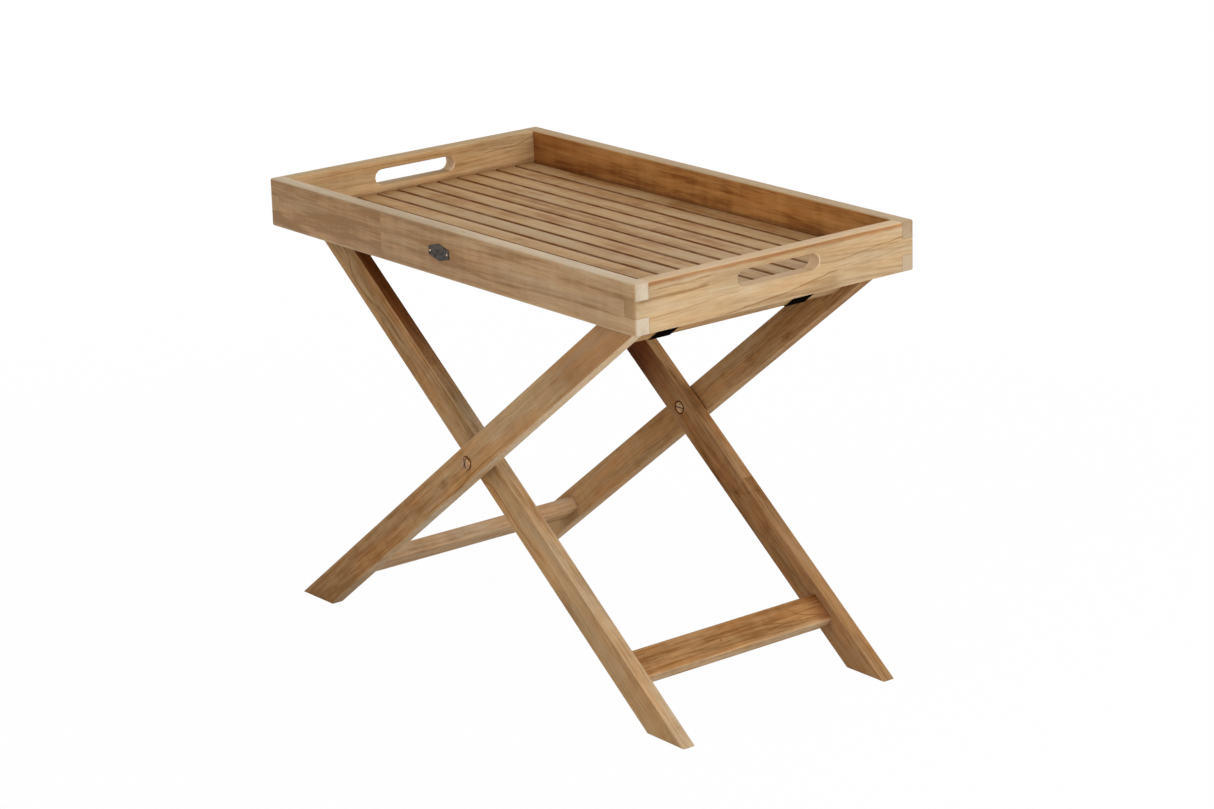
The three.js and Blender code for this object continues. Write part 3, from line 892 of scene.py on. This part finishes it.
@dataclass
class Tray:
    """The tray: two long rails, two end rails, a slatted floor and its battens."""

    slat_count: int = 12
    batten_sides: tuple[str, ...] = ("left", "middle", "right")
    screw_radius: float = 3.4 * MM
    screw_rise: float = 0.22 * MM
    screw_points: int = 48
    screw_turn: float = 0.7
    screw_shift: float = 0.22
    recess_half_width: float = 0.55 * MM
    recess_reach: float = 2.2 * MM
    recess_rise: float = 0.02 * MM
    rng: np.random.Generator = field(default_factory=lambda: np.random.default_rng(7))

    def long_rails(self) -> None:
        """Dresses the front and the back rail."""
        front = (
            Vein(((18, -16), (87, -15.6), (165, -16), (246, -14), (355, -12)), 3.5, 0.17),
            Vein(((0, 8), (85, 15), (164, 12), (261, 10.4), (340, 12)), 3.0, 0.2),
            Vein(((-345, 18), (-254, 17), (-130, 16)), 4.0, 0.15),
            Vein(((-366, 15), (-335, 20), (-305, 26), (-275, 30)), 9.0, 0.38),
        )
        sweep = ((-63, -16), (12, -14.3), (62, -13.6), (102, -9.9), (146, -4), (189, 3), (250, 8))
        back = (
            Vein(sweep, 4.5, 0.12, -0.06),
            Vein(((-320, -17), (-202, -11.5), (-119, -15.6), (-16, -19)), 6.0, 0.16),
            Vein(((-300, 3), (-180, 0), (-60, 4), (60, 2)), 5.0, 0.2),
        )
        figure = Figure((-0.02, -0.10), 0.012, 3.1, splice=-0.122, splice_dim=0.22, fade=0.28, veins=front)
        dress_board("tray_rail_front", X, Y, GREY_BROWN, figure)
        # The first stain, a band low on the rail by the slats, is painted shade where they meet it, with some
        # real stain.
        stains_and_shade = (StainAndShade(1, 5.0, 10.5, 0.5, 0.0, 3.5), StainAndShade(0, -60.0, -320.0, 0.4, 0.0, 25.0))
        figure = Figure((0.015, -0.05), 0.03, 8.4, veins=back, stains_and_shade=stains_and_shade, end_fade=-16.0)
        dress_board("tray_rail_back", X, Y, RED_BROWN, figure)

    def end_rails(self) -> None:
        """Dresses the left and the right rail."""
        left = (
            Vein(((110, 13), (129, 14.3), (153, 14.1), (168, 16.5), (190, 23)), 1.2, 0.3),
            Vein(((-190, 2), (-90, 5), (60, 4), (190, 8)), 2.0, 0.14),
            Vein(((-190, 22), (-60, 24), (60, 21), (190, 12)), 1.4, 0.14),
        )
        sweep = ((-120, -30), (-79, -28.6), (-51, -25.8), (-23, -23), (20, -19), (66, -11.5), (90, -8))
        right = (
            Vein(sweep, 1.7, 0.34, -0.14),
            Vein(((65, 3.5), (93, 3), (116, 5), (146, 9), (176, 11.5), (206, 14.5)), 1.3, 0.26),
            Vein(((-191, -12.5), (-161, -11.7), (-129, -9.4), (-93, -6.4), (-61, -5.9)), 1.1, 0.22),
            Vein(((-208, 9.0), (-161, 9.2), (-128, 9.6), (-105, 11.3)), 3.6, 0.3),
            Vein(((-190, 18.5), (-160, 19.4), (-128, 19), (-92, 22.8)), 1.1, 0.22),
            Vein(((-205, 24.5), (-106, 25), (0, 24), (87, 23), (206, 24.5)), 1.2, 0.08, 0.12),
            Vein(((110, -8), (150, -4), (206, 2)), 1.4, 0.16),
        )
        finish = replace(HONEY, body=(0.55, 0.357, 0.183), cloud_share=1.0, flank=(0.84, 0.85, 0.79),
                         end_grain=(0.45, 0.285, 0.145))
        # A darker band low on the rail by the slats: painted shade where they meet it.
        foot = StainAndShade(1, -5.5, -10.5, 0.4, 0.0)
        figure = Figure((0.03, 0.05), -0.03, 5.2, fade=-0.65, veins=left, stains_and_shade=(foot,))
        dress_board("tray_rail_left", Y, X, finish, figure)
        foot = StainAndShade(1, 23.0, 26.5, 0.8, 0.0, 2.5)
        figure = Figure((-0.035, 0.045), 0.09, 6.6, veins=right, stains_and_shade=(foot,))
        dress_board("tray_rail_right", Y, X, replace(HONEY, stain_and_shade_ratio=(0.78, 0.5, 0.3)), figure)

    def vary(self, spread: float) -> float:
        """A random number around 0, with this distance between its least and its greatest value."""
        return spread * (self.rng.random() - 0.5)

    def floor(self) -> None:
        """Dresses the slats and battens, each slat a little lighter or darker than the next."""
        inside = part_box("tray_rail_right")[0].x / MM
        # Slat ends by the end rails: a thin dark line of painted shade where they meet the rails, and a wider
        # faint band of painted shade and dirt.
        shoulder_shade_and_dirt = (
            StainAndShade(0, 3.5 - inside, 0.5 - inside, 0.75, 0.75, 1.0),
            StainAndShade(0, 30.0 - inside, 3.0 - inside, 0.3, 0.0, 12.0),
            StainAndShade(0, inside - 3.5, inside - 0.5, 0.75, 0.75, 1.0),
        )
        for number in range(1, self.slat_count + 1):
            name = f"slat_{number:02d}"
            low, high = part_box(name)
            edge = (high.y - low.y) / 2 / MM
            # A dark band along one long edge of each slat's top: painted shade that widens the gap line.
            gap_shade_line = StainAndShade(1, edge - 3.4, edge - 1.8, 0.9, 0.0, 0.3)
            shift, warm = 1 + self.vary(0.15), 1 + self.vary(0.03)
            tint = shift * warm, shift, shift / warm
            finish = replace(FLOOR, body=tuple(c * t for c, t in zip(FLOOR.body, tint)))
            pith = self.vary(0.05), self.vary(-0.06) - 0.06
            figure = Figure(pith, self.vary(0.03), 20.0 + 3.7 * number, stains_and_shade=(*shoulder_shade_and_dirt, gap_shade_line))
            dress_board(name, X, Z, finish, figure)
        for number, side in enumerate(self.batten_sides):
            figure = Figure((0.03, 0.05), 0.02, 70.0 + 4.1 * number)
            dress_board(f"floor_batten_{side}", Y, Z, replace(FLOOR, gap_shade_colour=None), figure)

    def screws(self, metal: Material) -> None:
        """Makes the screws that hold the slats, one under each slat in each batten.

        A head is a surface over shares of its radius and angles. Its height is the rise times the root
        of 1 minus the fourth power of the share, and next to nothing in a cross: where either
        coordinate lies within half the recess's width, inside its reach.

        Args:
            metal: The screws' material.
        """
        shares = np.array([0.02, 0.12, 0.16, 0.3, 0.5, 0.64, 0.68, 0.85, 0.95, 1.0])
        angles = np.linspace(0, TURN, self.screw_points, endpoint=False)
        share, angle = np.meshgrid(shares, angles, indexing="ij")
        px, py = self.screw_radius * share * np.cos(angle), self.screw_radius * share * np.sin(angle)
        in_cross = np.minimum(abs(px), abs(py)) < self.recess_half_width
        in_cross &= share < self.recess_reach / self.screw_radius
        rise = np.where(in_cross, self.recess_rise, self.screw_rise * np.sqrt(1 - share ** 4))
        head = np.stack([px, py, -rise], axis=-1).reshape(-1, 3)
        quads, cap = ring_faces(*share.shape), np.arange(self.screw_points)[::-1]
        for side in self.batten_sides:
            low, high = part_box(f"floor_batten_{side}")
            points, faces = [], []
            for number in range(self.slat_count):
                turn = Matrix.Rotation(-self.screw_turn * number, 3, "Z")
                offset = (-1) ** number * self.screw_shift * (high.x - low.x)
                place = (low.x + high.x) / 2 + offset, middle(f"slat_{number + 1:02d}").y, low.z
                points.append(head @ np.array(turn) + place)
                faces += (quads + number * len(head)).tolist()
                faces.append((cap + number * len(head)).tolist())
            made = mesh_object(f"floor_screws_{side}", np.concatenate(points), faces, metal)
            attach(made, Body.TRAY.value)
            log.info("%s: %d screws", made.name, self.slat_count)


@dataclass
class Stand:
    """The folding stand: an outer and an inner frame on two pivots."""

    # Radii in millimetres of the dark rings round the sleeve nuts and bolt heads: painted shade in and round
    # their recesses, with some grime.
    sleeve_ring: tuple[float, float] = (6.9, 9.0)
    head_ring: tuple[float, float] = (8.2, 9.0)
    bolt_turn: float = -1.22
    tack_count: int = 4

    def slope(self, name: str) -> Vector:
        """The direction from a top rail down to its stretcher, for the frame that a name tells.

        Args:
            name: A name with "inner" in it for the inner frame.

        Returns:
            The direction along the frame's legs.
        """
        side = "inner" if "inner" in name else "outer"
        down = middle(f"stretcher_{side}") - middle(f"top_rail_{side}")
        return Vector((down.x, 0, down.z)).normalized()

    def inner_legs(self) -> dict[str, tuple[Teak, Figure]]:
        """How the inner legs look.

        Returns:
            Their finishes and figures, by name.
        """
        curve = ((-345, -6), (-328, -2.8), (-314, 8), (-297, 11), (-267, 8.2), (-237, 0.2), (-190, 1))
        front = (
            Vein(curve, 3.0, 0.24),
            Vein(((20, 17), (31, 10), (45, 8), (90, 9), (160, 5)), 1.5, 0.3),
            Vein(((-190, -16), (-110, -16.5), (-20, -16)), 2.4, 0.2),
        )
        arch = Vein(((118, -20), (123, -12), (131, -7), (141, -4), (150, -9), (155, -20)), 1.6, 0.3)
        return {
            "leg_inner_front": (
                replace(LEG, body=(0.44, 0.262, 0.126), streak_share=0.35, cloud_share=1.1,
                        flank=(1.16, 1.3, 1.55)),
                # The fade and the stain on the narrow faces, and faintly on the wide ones, towards the top
                # are painted shade from the tray above.
                Figure((0.03, -0.05), 0.02, 31.0, fade=0.3, ring=self.sleeve_ring, veins=front,
                       stains_and_shade=(StainAndShade(0, -20.0, -230.0, 0.12, 0.92, 12.0),)),
            ),
            "leg_inner_rear": (
                replace(LEG, body=(0.30, 0.147, 0.057), contrast=1.3, fleck_share=1.3, cloud_share=1.6,
                        flank=(0.98, 1.0, 1.02)),
                # The fade and the stain on the wide faces towards the top are painted shade from the tray
                # above.
                Figure((0.02, -0.06), 0.03, 39.2, fade=0.75, splice=0.115, splice_teeth=1.2, veins=(arch,),
                       ring=self.sleeve_ring, knots=((136.0, 4.0, 6.0),),
                       stains_and_shade=(StainAndShade(0, 5.0, -110.0, 0.97, 0.0, 9.0),)),
            ),
        }

    def outer_legs(self) -> dict[str, tuple[Teak, Figure]]:
        """How the outer legs look.

        Returns:
            Their finishes and figures, by name.
        """
        edge = ((120, -16), (74, -16.5), (57, -17.4), (25, -16.9), (-2, -14.4), (-34, -13.9), (-90, -15))
        streak = Vein(((75, 4), (55, 2.8), (24, -1.3), (-6, -0.3), (-60, -0.7)), 5.0, 0.13)
        return {
            "leg_outer_front": (
                replace(LEG, body=(0.435, 0.248, 0.114), cloud_share=0.8, flank=(1.12, 1.4, 1.9)),
                Figure((-0.05, -0.09), 0.01, 35.3, fade=-0.9, ring=self.head_ring,
                       # The stain near the top is painted shade under the tray.
                       stains_and_shade=(StainAndShade(0, -190.0, -260.0, 0.3, 0.0, 10.0),),
                       knots=((61.5, 0.0, 5.0), (377.0, -6.0, 3.0)), veins=(Vein(edge, 1.2, 0.28), streak)),
            ),
            "leg_outer_rear": (
                replace(LEG, body=(0.40, 0.218, 0.093), cloud_share=0.9, flank=(0.96, 1.04, 1.18)),
                # The fade, darker towards the top, is painted shade from the tray above.
                Figure((-0.03, -0.07), 0.015, 43.9, fade=0.6, ring=self.head_ring,
                       knots=((-219.0, -12.5, 5.0), (-139.0, -2.5, 6.0))),
            ),
        }

    def bars(self) -> dict[str, tuple[Teak, Figure]]:
        """How the top rails and stretchers look.

        Returns:
            Their finishes and figures, by name.
        """
        orange = replace(LEG, body=(0.425, 0.219, 0.09), contrast=1.1, streak_share=0.7,
                         flank=(1.1, 1.4, 1.9))
        yellow = replace(orange, body=(0.44, 0.27, 0.138), streak_share=0.5, flank=(1.1, 1.15, 1.3))
        arches = (
            Vein(((-60, 0), (-22, 0.2), (11, 0.3), (52, 0.8), (85, 7), (121, 10), (140, 10)), 1.3, 0.24),
            Vein(((-140, 12), (-87, 11.8), (-42, 11.8), (3, 11.8), (50, 14.5), (90, 17.7)), 1.3, 0.24),
            Vein(((90, -20), (93, -18), (96, -10), (103, -2), (117, 4.4), (140, 10)), 1.4, 0.26),
            Vein(((-140, 3), (-90, 5), (-30, 6), (40, 6.5), (80, 11), (120, 14)), 1.1, 0.2),
            Vein(((-140, -6), (-80, -5), (0, -5), (60, -5), (100, -3)), 1.1, 0.14),
        )
        joint = StainAndShade(0, 124.0, 142.0, 0.55, 0.3, 12.0)
        return {
            "top_rail_outer": (LEG, Figure((0.03, -0.05), 0.02, 51.0)),
            "top_rail_inner": (LEG, Figure((0.02, -0.07), 0.02, 53.0)),
            "stretcher_inner": (orange, Figure((-0.02, -0.05), 0.05, 57.0, knots=((-17.5, 2.6, 1.2),),
                                               veins=arches, stains_and_shade=(joint,))),
            "stretcher_outer": (yellow, Figure((0.025, -0.05), -0.03, 59.0)),
        }

    def boards(self) -> None:
        """Dresses the legs, top rails and stretchers."""
        pivot = middle("pivot_washer_front")
        for name, (finish, figure) in {**self.inner_legs(), **self.outer_legs()}.items():
            slope = self.slope(name)
            origin = Board.measured(name, slope, Y).place(pivot)
            dress_board(name, slope, Y, finish, replace(figure, origin=origin))
        for name, (finish, figure) in self.bars().items():
            dress_board(name, Y, Y.cross(self.slope(name)).normalized(), finish, figure)

    def hardware(self, brass: Metal, steel: Material) -> None:
        """Dresses the pivots and the tacks.

        Args:
            brass: The pivots' metal.
            steel: The tacks' material.
        """
        for piece, turn in {"bolt": self.bolt_turn, "nut": 0.0, "washer": None}.items():
            material = replace(brass, slot_turn=turn).material(f"{piece}_brass")
            for place in ("front", "rear"):
                dress(f"pivot_{piece}_{place}", material)
        for side in ("outer", "inner"):
            for number in range(1, self.tack_count + 1):
                dress(f"strap_tack_{side}_{number}", steel)


def distances(line: np.ndarray) -> np.ndarray:
    """How far along a line each of its points lies."""
    return np.concatenate([[0], np.cumsum(np.linalg.norm(np.diff(line, axis=0), axis=1))])


@dataclass
class Strap:
    """A webbing strap round both top rails, swept along its path as a thin rounded ribbon."""

    place: str
    slope: Vector
    thickness: float = 1.2 * MM
    lift: float = 0.3 * MM
    rail_width: float = 40.0 * MM
    rail_depth: float = 18.0 * MM
    rail_round: float = 3.0 * MM
    tuck: float = 26.0 * MM
    sag: float = 0.7 * MM
    arc_steps: int = 8
    straight_step: float = 3.0 * MM
    flat_points: int = 15
    edge_bulge: float = 0.12
    edge_place: float = 0.93
    edge_spread: float = 0.06
    end_share: float = 0.55
    end_taper: float = 1.5 * MM
    level_drop: float = 1.5 * MM
    wrap_reach: float = 34.0 * MM

    def half_path(self) -> np.ndarray:
        """The path round the outer top rail, from its tacked end to where it leaves the rail.

        Arcs turn about the centres of the rail's rounded corners, and straight stretches join them.
        The last arc ends where the strap runs level.

        Returns:
            Points as rows of x and z.
        """
        rail, down = middle("top_rail_outer"), np.array([self.slope.x, self.slope.z])
        out = np.array([-down[1], down[0]]) * math.copysign(1.0, -down[1])
        run, rise = self.rail_width / 2 - self.rail_round, self.rail_depth / 2 - self.rail_round
        reach = self.rail_round + self.lift + self.thickness / 2
        level = math.pi + math.atan2(abs(down[0]), abs(down[1]))
        angles = [-math.pi / 2, 0.0, math.pi / 2, math.pi, level]
        pieces = [np.array([[run + self.rail_round - self.tuck, -rise - reach]])]
        for corner, a, b in zip([(run, -rise), (run, rise), (-run, rise), (-run, -rise)], angles, angles[1:]):
            angle = np.linspace(a, b, self.arc_steps)
            pieces.append(corner + reach * np.stack([np.cos(angle), np.sin(angle)], axis=1))
        return np.array([rail.x, rail.z]) + np.concatenate(pieces) @ np.array([down, out])

    def path(self) -> np.ndarray:
        """The whole path: the outer half, the span, sagging by a parabola, and the mirrored half.

        Returns:
            Points as rows of x and z, at nearly equal steps.
        """
        outer = self.half_path()
        corners = np.concatenate([outer, (outer * [-1.0, 1.0])[::-1]])
        reach = distances(corners)
        counts = np.maximum(2, (np.diff(reach) / self.straight_step).astype(int) + 1)
        fine = [np.linspace(a, b, count)[:-1] for a, b, count in zip(reach, reach[1:], counts)]
        stations = np.concatenate([*fine, reach[-1:]])
        line = np.stack([np.interp(stations, reach, corners[:, k]) for k in range(2)], axis=1)
        span = abs(line[:, 0]) / outer[-1, 0]
        on_top = (line[:, 1] > outer[-1, 1] - 1e-6) & (span < 1)
        line[:, 1] -= np.where(on_top, self.sag * (1 - span ** 2), 0)
        return line

    def section(self, width: float) -> np.ndarray:
        """The strap's section: a thin rectangle with round selvedges.

        Its half thickness is multiplied by 1 less the bulge, plus the bulge times a bell curve at the
        edge's place.

        Args:
            width: The strap's width.

        Returns:
            Points as rows of a place across the strap and one through it.
        """
        half = self.thickness / 2
        share = np.linspace(-1, 1, self.flat_points)
        bell = np.exp(-(((abs(share) - self.edge_place) / self.edge_spread) ** 2))
        thick = half * (1 - self.edge_bulge + self.edge_bulge * bell)
        top = np.stack([share * (width / 2 - half), thick], axis=1)
        angle = np.linspace(math.pi / 2, -math.pi / 2, 5)[1:-1]
        right = np.stack([width / 2 - half + half * np.cos(angle), half * np.sin(angle)], axis=1)
        return np.concatenate([top, right, (top * [1, -1])[::-1], right * [-1, -1]])

    def build(self, material: Material) -> None:
        """Args:
            material: The webbing.
        """
        line = self.path()
        stations, top = distances(line), line[:, 1].max()
        low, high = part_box(f"strap_span_{self.place}")
        width, side = high.y - low.y, (high.y + low.y) / 2
        tangent = np.gradient(line, axis=0)
        tangent /= np.linalg.norm(tangent, axis=1, keepdims=True)
        section = self.section(width)
        from_end = np.minimum(stations, stations[-1] - stations)
        thin = np.clip(self.end_share + from_end / self.end_taper, self.end_share, 1.0)
        across, off = np.broadcast_arrays(section[:, 0], section[:, 1] * thin[:, None])
        x, z = line[:, :1] - tangent[:, 1:] * off, line[:, 1:] + tangent[:, :1] * off
        made = closed_object(f"strap_{self.place}", np.stack([x, side + across, z], axis=-1), material)
        wound = np.stack(np.broadcast_arrays(section[:, 0], stations[:, None]), axis=-1).reshape(-1, 2)
        corners = np.empty(len(made.data.loops), np.int32)
        made.data.loops.foreach_get("vertex_index", corners)
        made.data.uv_layers.new(name="weave").data.foreach_set("uv", wound[corners].ravel())
        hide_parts(*(f"strap_{part}_{self.place}" for part in ("wrap_outer", "wrap_inner", "span")))
        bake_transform(made)
        log.info("%s: %.0f mm long", made.name, stations[-1] / MM)


@dataclass
class RailPlate:
    """A small bare plate pinned to the front rail.

    Its profile, a raised border round a lower field, is written as shares of the outline's distance
    and the height at each of them, in millimetres off the rail.
    """

    centre_x: float = -3.7 * MM
    centre_z: float = 525.9 * MM
    half_length: float = 20.0 * MM
    half_height: float = 10.5 * MM
    side_half_height: float = 5.4 * MM
    shares: tuple[float, ...] = (
        0.02, 0.2, 0.4, 0.6, 0.76, 0.82, 0.85, 0.88, 0.92, 0.955, 0.98, 0.995, 1.0, 1.0
    )
    heights: tuple[float, ...] = (*(0.95,) * 6, 1.125, 1.3, 1.3, 1.261, 1.105, 0.78, 0.39, 0.02)
    plate_points: int = 180
    pin_radius: float = 1.1 * MM
    pin_inset: float = 3.4 * MM
    pin_flatness: float = 0.55
    pin_root: float = 0.1 * MM
    pin_rings: int = 7
    pin_points: int = 24

    def outline(self, angle: np.ndarray) -> np.ndarray:
        """Distance from the middle to the six-sided outline.

        It is the least of distance over cosine among the sides, each a line at a distance along its
        own normal.

        Args:
            angle: Directions in radians.

        Returns:
            The distance in each direction.
        """
        slant = math.atan2(self.half_length, self.half_height - self.side_half_height)
        far = self.half_height * math.sin(slant)
        sides = [(0.0, self.half_length), (math.pi, self.half_length)]
        sides += [(normal, far) for normal in (slant, math.pi - slant, math.pi + slant, -slant)]
        return np.min([d / np.maximum(np.cos(angle - normal), 1e-3) for normal, d in sides], axis=0)

    def relief(self, name: str, x: float, reach: np.ndarray, height: np.ndarray, face: float,
               material: Material, slot: str) -> None:
        """Makes a closed surface on a polar grid, standing off a face to the front.

        Args:
            name: The object's name.
            x: Its centre's place along the rail.
            reach: How far from the centre the points lie, by ring and by angle.
            height: How far each ring stands off.
            face: Where the face is in y.
            material: Its material.
            slot: Not used.
        """
        angle = np.linspace(0, TURN, reach.shape[1], endpoint=False)
        y = np.broadcast_to((face - height)[:, None], reach.shape)
        rings = np.stack([x + reach * np.cos(angle), y, self.centre_z + reach * np.sin(angle)], axis=-1)
        made = closed_object(name, rings, material)
        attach(made, Body.TRAY.value)

    def build(self, metal: Material, pins: Material) -> None:
        """Makes the plate and its two pins, which are domes with a short root.

        Args:
            metal: The plate's material.
            pins: The pins' material.
        """
        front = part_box("tray_rail_front")[0].y
        heights = np.array(self.heights) * MM
        distance = self.outline(np.linspace(0, TURN, self.plate_points, endpoint=False))
        reach = np.outer(self.shares, distance)
        self.relief("rail_plate", self.centre_x, reach, heights, front, metal, "tack_steel")
        log.info("rail_plate: bare")
        dome = np.linspace(0.05, math.pi / 2, self.pin_rings)
        radius = np.append(self.pin_radius * np.sin(dome), self.pin_radius)
        reach = np.outer(radius, np.ones(self.pin_points))
        height = np.append(self.pin_radius * self.pin_flatness * np.cos(dome), -self.pin_root)
        for side, sign in (("left", -1), ("right", 1)):
            x = self.centre_x + sign * (self.half_length - self.pin_inset)
            self.relief(f"plate_pin_{side}", x, reach, height, front - heights[0], pins, "pivot_brass")


def aimed(name: str, data: ID, place: Colour, aim: Colour, roll: float = 0.0) -> Object:
    """Adds a camera or a lamp that looks from one point at another.

    Args:
        name: The object's name.
        data: The camera or lamp.
        place: Where it is.
        aim: What it looks at.
        roll: Its turn about the line of sight in degrees.

    Returns:
        The object, in the scene.
    """
    sight = (Vector(aim) - Vector(place)).to_track_quat("-Z", "Y").to_matrix()
    made = bpy.data.objects.new(name, data)
    made.location = place
    made.rotation_euler = (sight @ Matrix.Rotation(math.radians(roll), 3, "Z")).to_euler()
    bpy.context.scene.collection.objects.link(made)
    return made


@dataclass(frozen=True)
class Softbox:
    """A rectangular lamp. Its level is the brightness of a white surface that faces it at its aim."""

    name: str
    place: tuple[float, float, float]
    aim: tuple[float, float, float]
    size: tuple[float, float]
    level: float

    def light(self) -> None:
        """Adds the lamp. Its power is the level times the square of pi and of the distance."""
        lamp = bpy.data.lights.new(self.name, "AREA")
        lamp.shape = "RECTANGLE"
        lamp.size, lamp.size_y = self.size
        lamp.energy = self.level * math.pi ** 2 * (Vector(self.aim) - Vector(self.place)).length_squared
        aimed(self.name, lamp, self.place, self.aim)


@dataclass
class Studio:
    """The camera, the lamps, the white background and the floor."""

    image_width: float = 1214.0
    focal_pixels: float = 3539.4
    sensor: float = 36.0
    eye: tuple[float, float, float] = (3.2713, -2.5577, 1.5516)
    aim: tuple[float, float, float] = (0.0155, 0.0195, 0.2956)
    roll: float = -1.560
    view_end: float = 100.0
    sky_level: float = 0.36
    floor_colour: Colour = (0.88, 0.88, 0.88)
    floor_half: float = 6.0
    floor_drop: float = 0.4 * MM
    shadow_share: float = 0.02
    lamps: tuple[Softbox, ...] = (
        Softbox("key_softbox", (2.7, 1.3, 2.3), (0.0, 0.0, 0.4), (1.8, 1.8), 0.28),
        Softbox("top_softbox", (0.2, -0.2, 3.6), (0.0, 0.0, 0.5), (2.4, 2.4), 0.16),
        Softbox("right_softbox", (4.0, -0.3, 0.95), (0.0, 0.0, 0.35), (1.8, 0.9), 0.38),
        Softbox("front_softbox", (-0.6, -3.6, 1.9), (0.0, 0.0, 0.35), (2.2, 2.2), 0.24),
        Softbox("back_softbox", (-1.6, 2.6, 2.4), (0.0, 0.0, 0.4), (2.0, 2.0), 0.20),
    )

    def camera(self) -> None:
        """Adds the camera at the photograph's place, with its slight roll."""
        data = bpy.data.cameras.new("camera")
        data.sensor_width = self.sensor
        data.lens = self.focal_pixels / self.image_width * self.sensor
        data.clip_end = self.view_end
        bpy.context.scene.camera = aimed("camera", data, self.eye, self.aim, self.roll)

    def background(self) -> None:
        """Makes the world white to the camera and to reflections, and a plain soft sky to the rest."""
        world = bpy.data.worlds.new("studio")
        world.use_nodes = True
        nodes, white = Nodes(world.node_tree), (1.0, 1.0, 1.0)
        lights = [{"Color": white, "Strength": level} for level in (self.sky_level, 1.0)]
        sky, bright = (nodes.value("ShaderNodeBackground", None, light) for light in lights)
        nodes.show("ShaderNodeOutputWorld", sky, bright)
        bpy.context.scene.world = world

    def floor(self) -> None:
        """Lays the floor, which lights the table from below and shows the camera only a faint shadow."""
        corners = ((-1, -1), (1, -1), (1, 1), (-1, 1))
        points = np.array([(x * self.floor_half, y * self.floor_half, -self.floor_drop) for x, y in corners])
        shade = Shade("floor_white")
        reach = shade.vector("LENGTH", shade.coordinates(), out="Value")
        clear = reach.step(0.8, 2.6) * self.shadow_share + (1 - self.shadow_share)
        matt = shade.value("ShaderNodeBsdfDiffuse", None, {"Color": self.floor_colour})
        shade.show("ShaderNodeOutputMaterial", matt, shade.value("ShaderNodeBsdfTransparent"), clear)
        mesh_object("floor", points, [[0, 1, 2, 3]], shade.material)

    def build(self) -> None:
        """Sets up the whole studio."""
        self.camera()
        self.background()
        self.floor()
        for lamp in self.lamps:
            lamp.light()
        bpy.context.scene.view_settings.view_transform = "Standard"


def main() -> None:
    """Builds the studio and dresses the table."""
    logging.basicConfig(level=logging.INFO, format="%(message)s")
    Studio().build()
    brass = Metal((0.36, 0.21, 0.105), (0.20, 0.105, 0.045), 0.36)
    steel = Metal((0.42, 0.40, 0.37), (0.25, 0.23, 0.2)).material("dull_steel")
    pewter = Metal((0.06, 0.045, 0.035), (0.008, 0.006, 0.004), 0.45, 0.65, 330.0, 0.58, 0.4)
    tray = Tray()
    tray.long_rails()
    tray.end_rails()
    tray.floor()
    tray.screws(steel)
    stand = Stand()
    stand.boards()
    stand.hardware(brass, steel)
    webbing = Webbing().material("black_webbing")
    for place in ("front", "rear"):
        Strap(place, stand.slope("outer")).build(webbing)
    pin_brass = Metal((0.80, 0.60, 0.36), (0.5, 0.33, 0.17), dull_share=0.2).material("pin_brass")
    RailPlate().build(pewter.material("dark_pewter"), pin_brass)


if __name__ == "__main__":
    main()
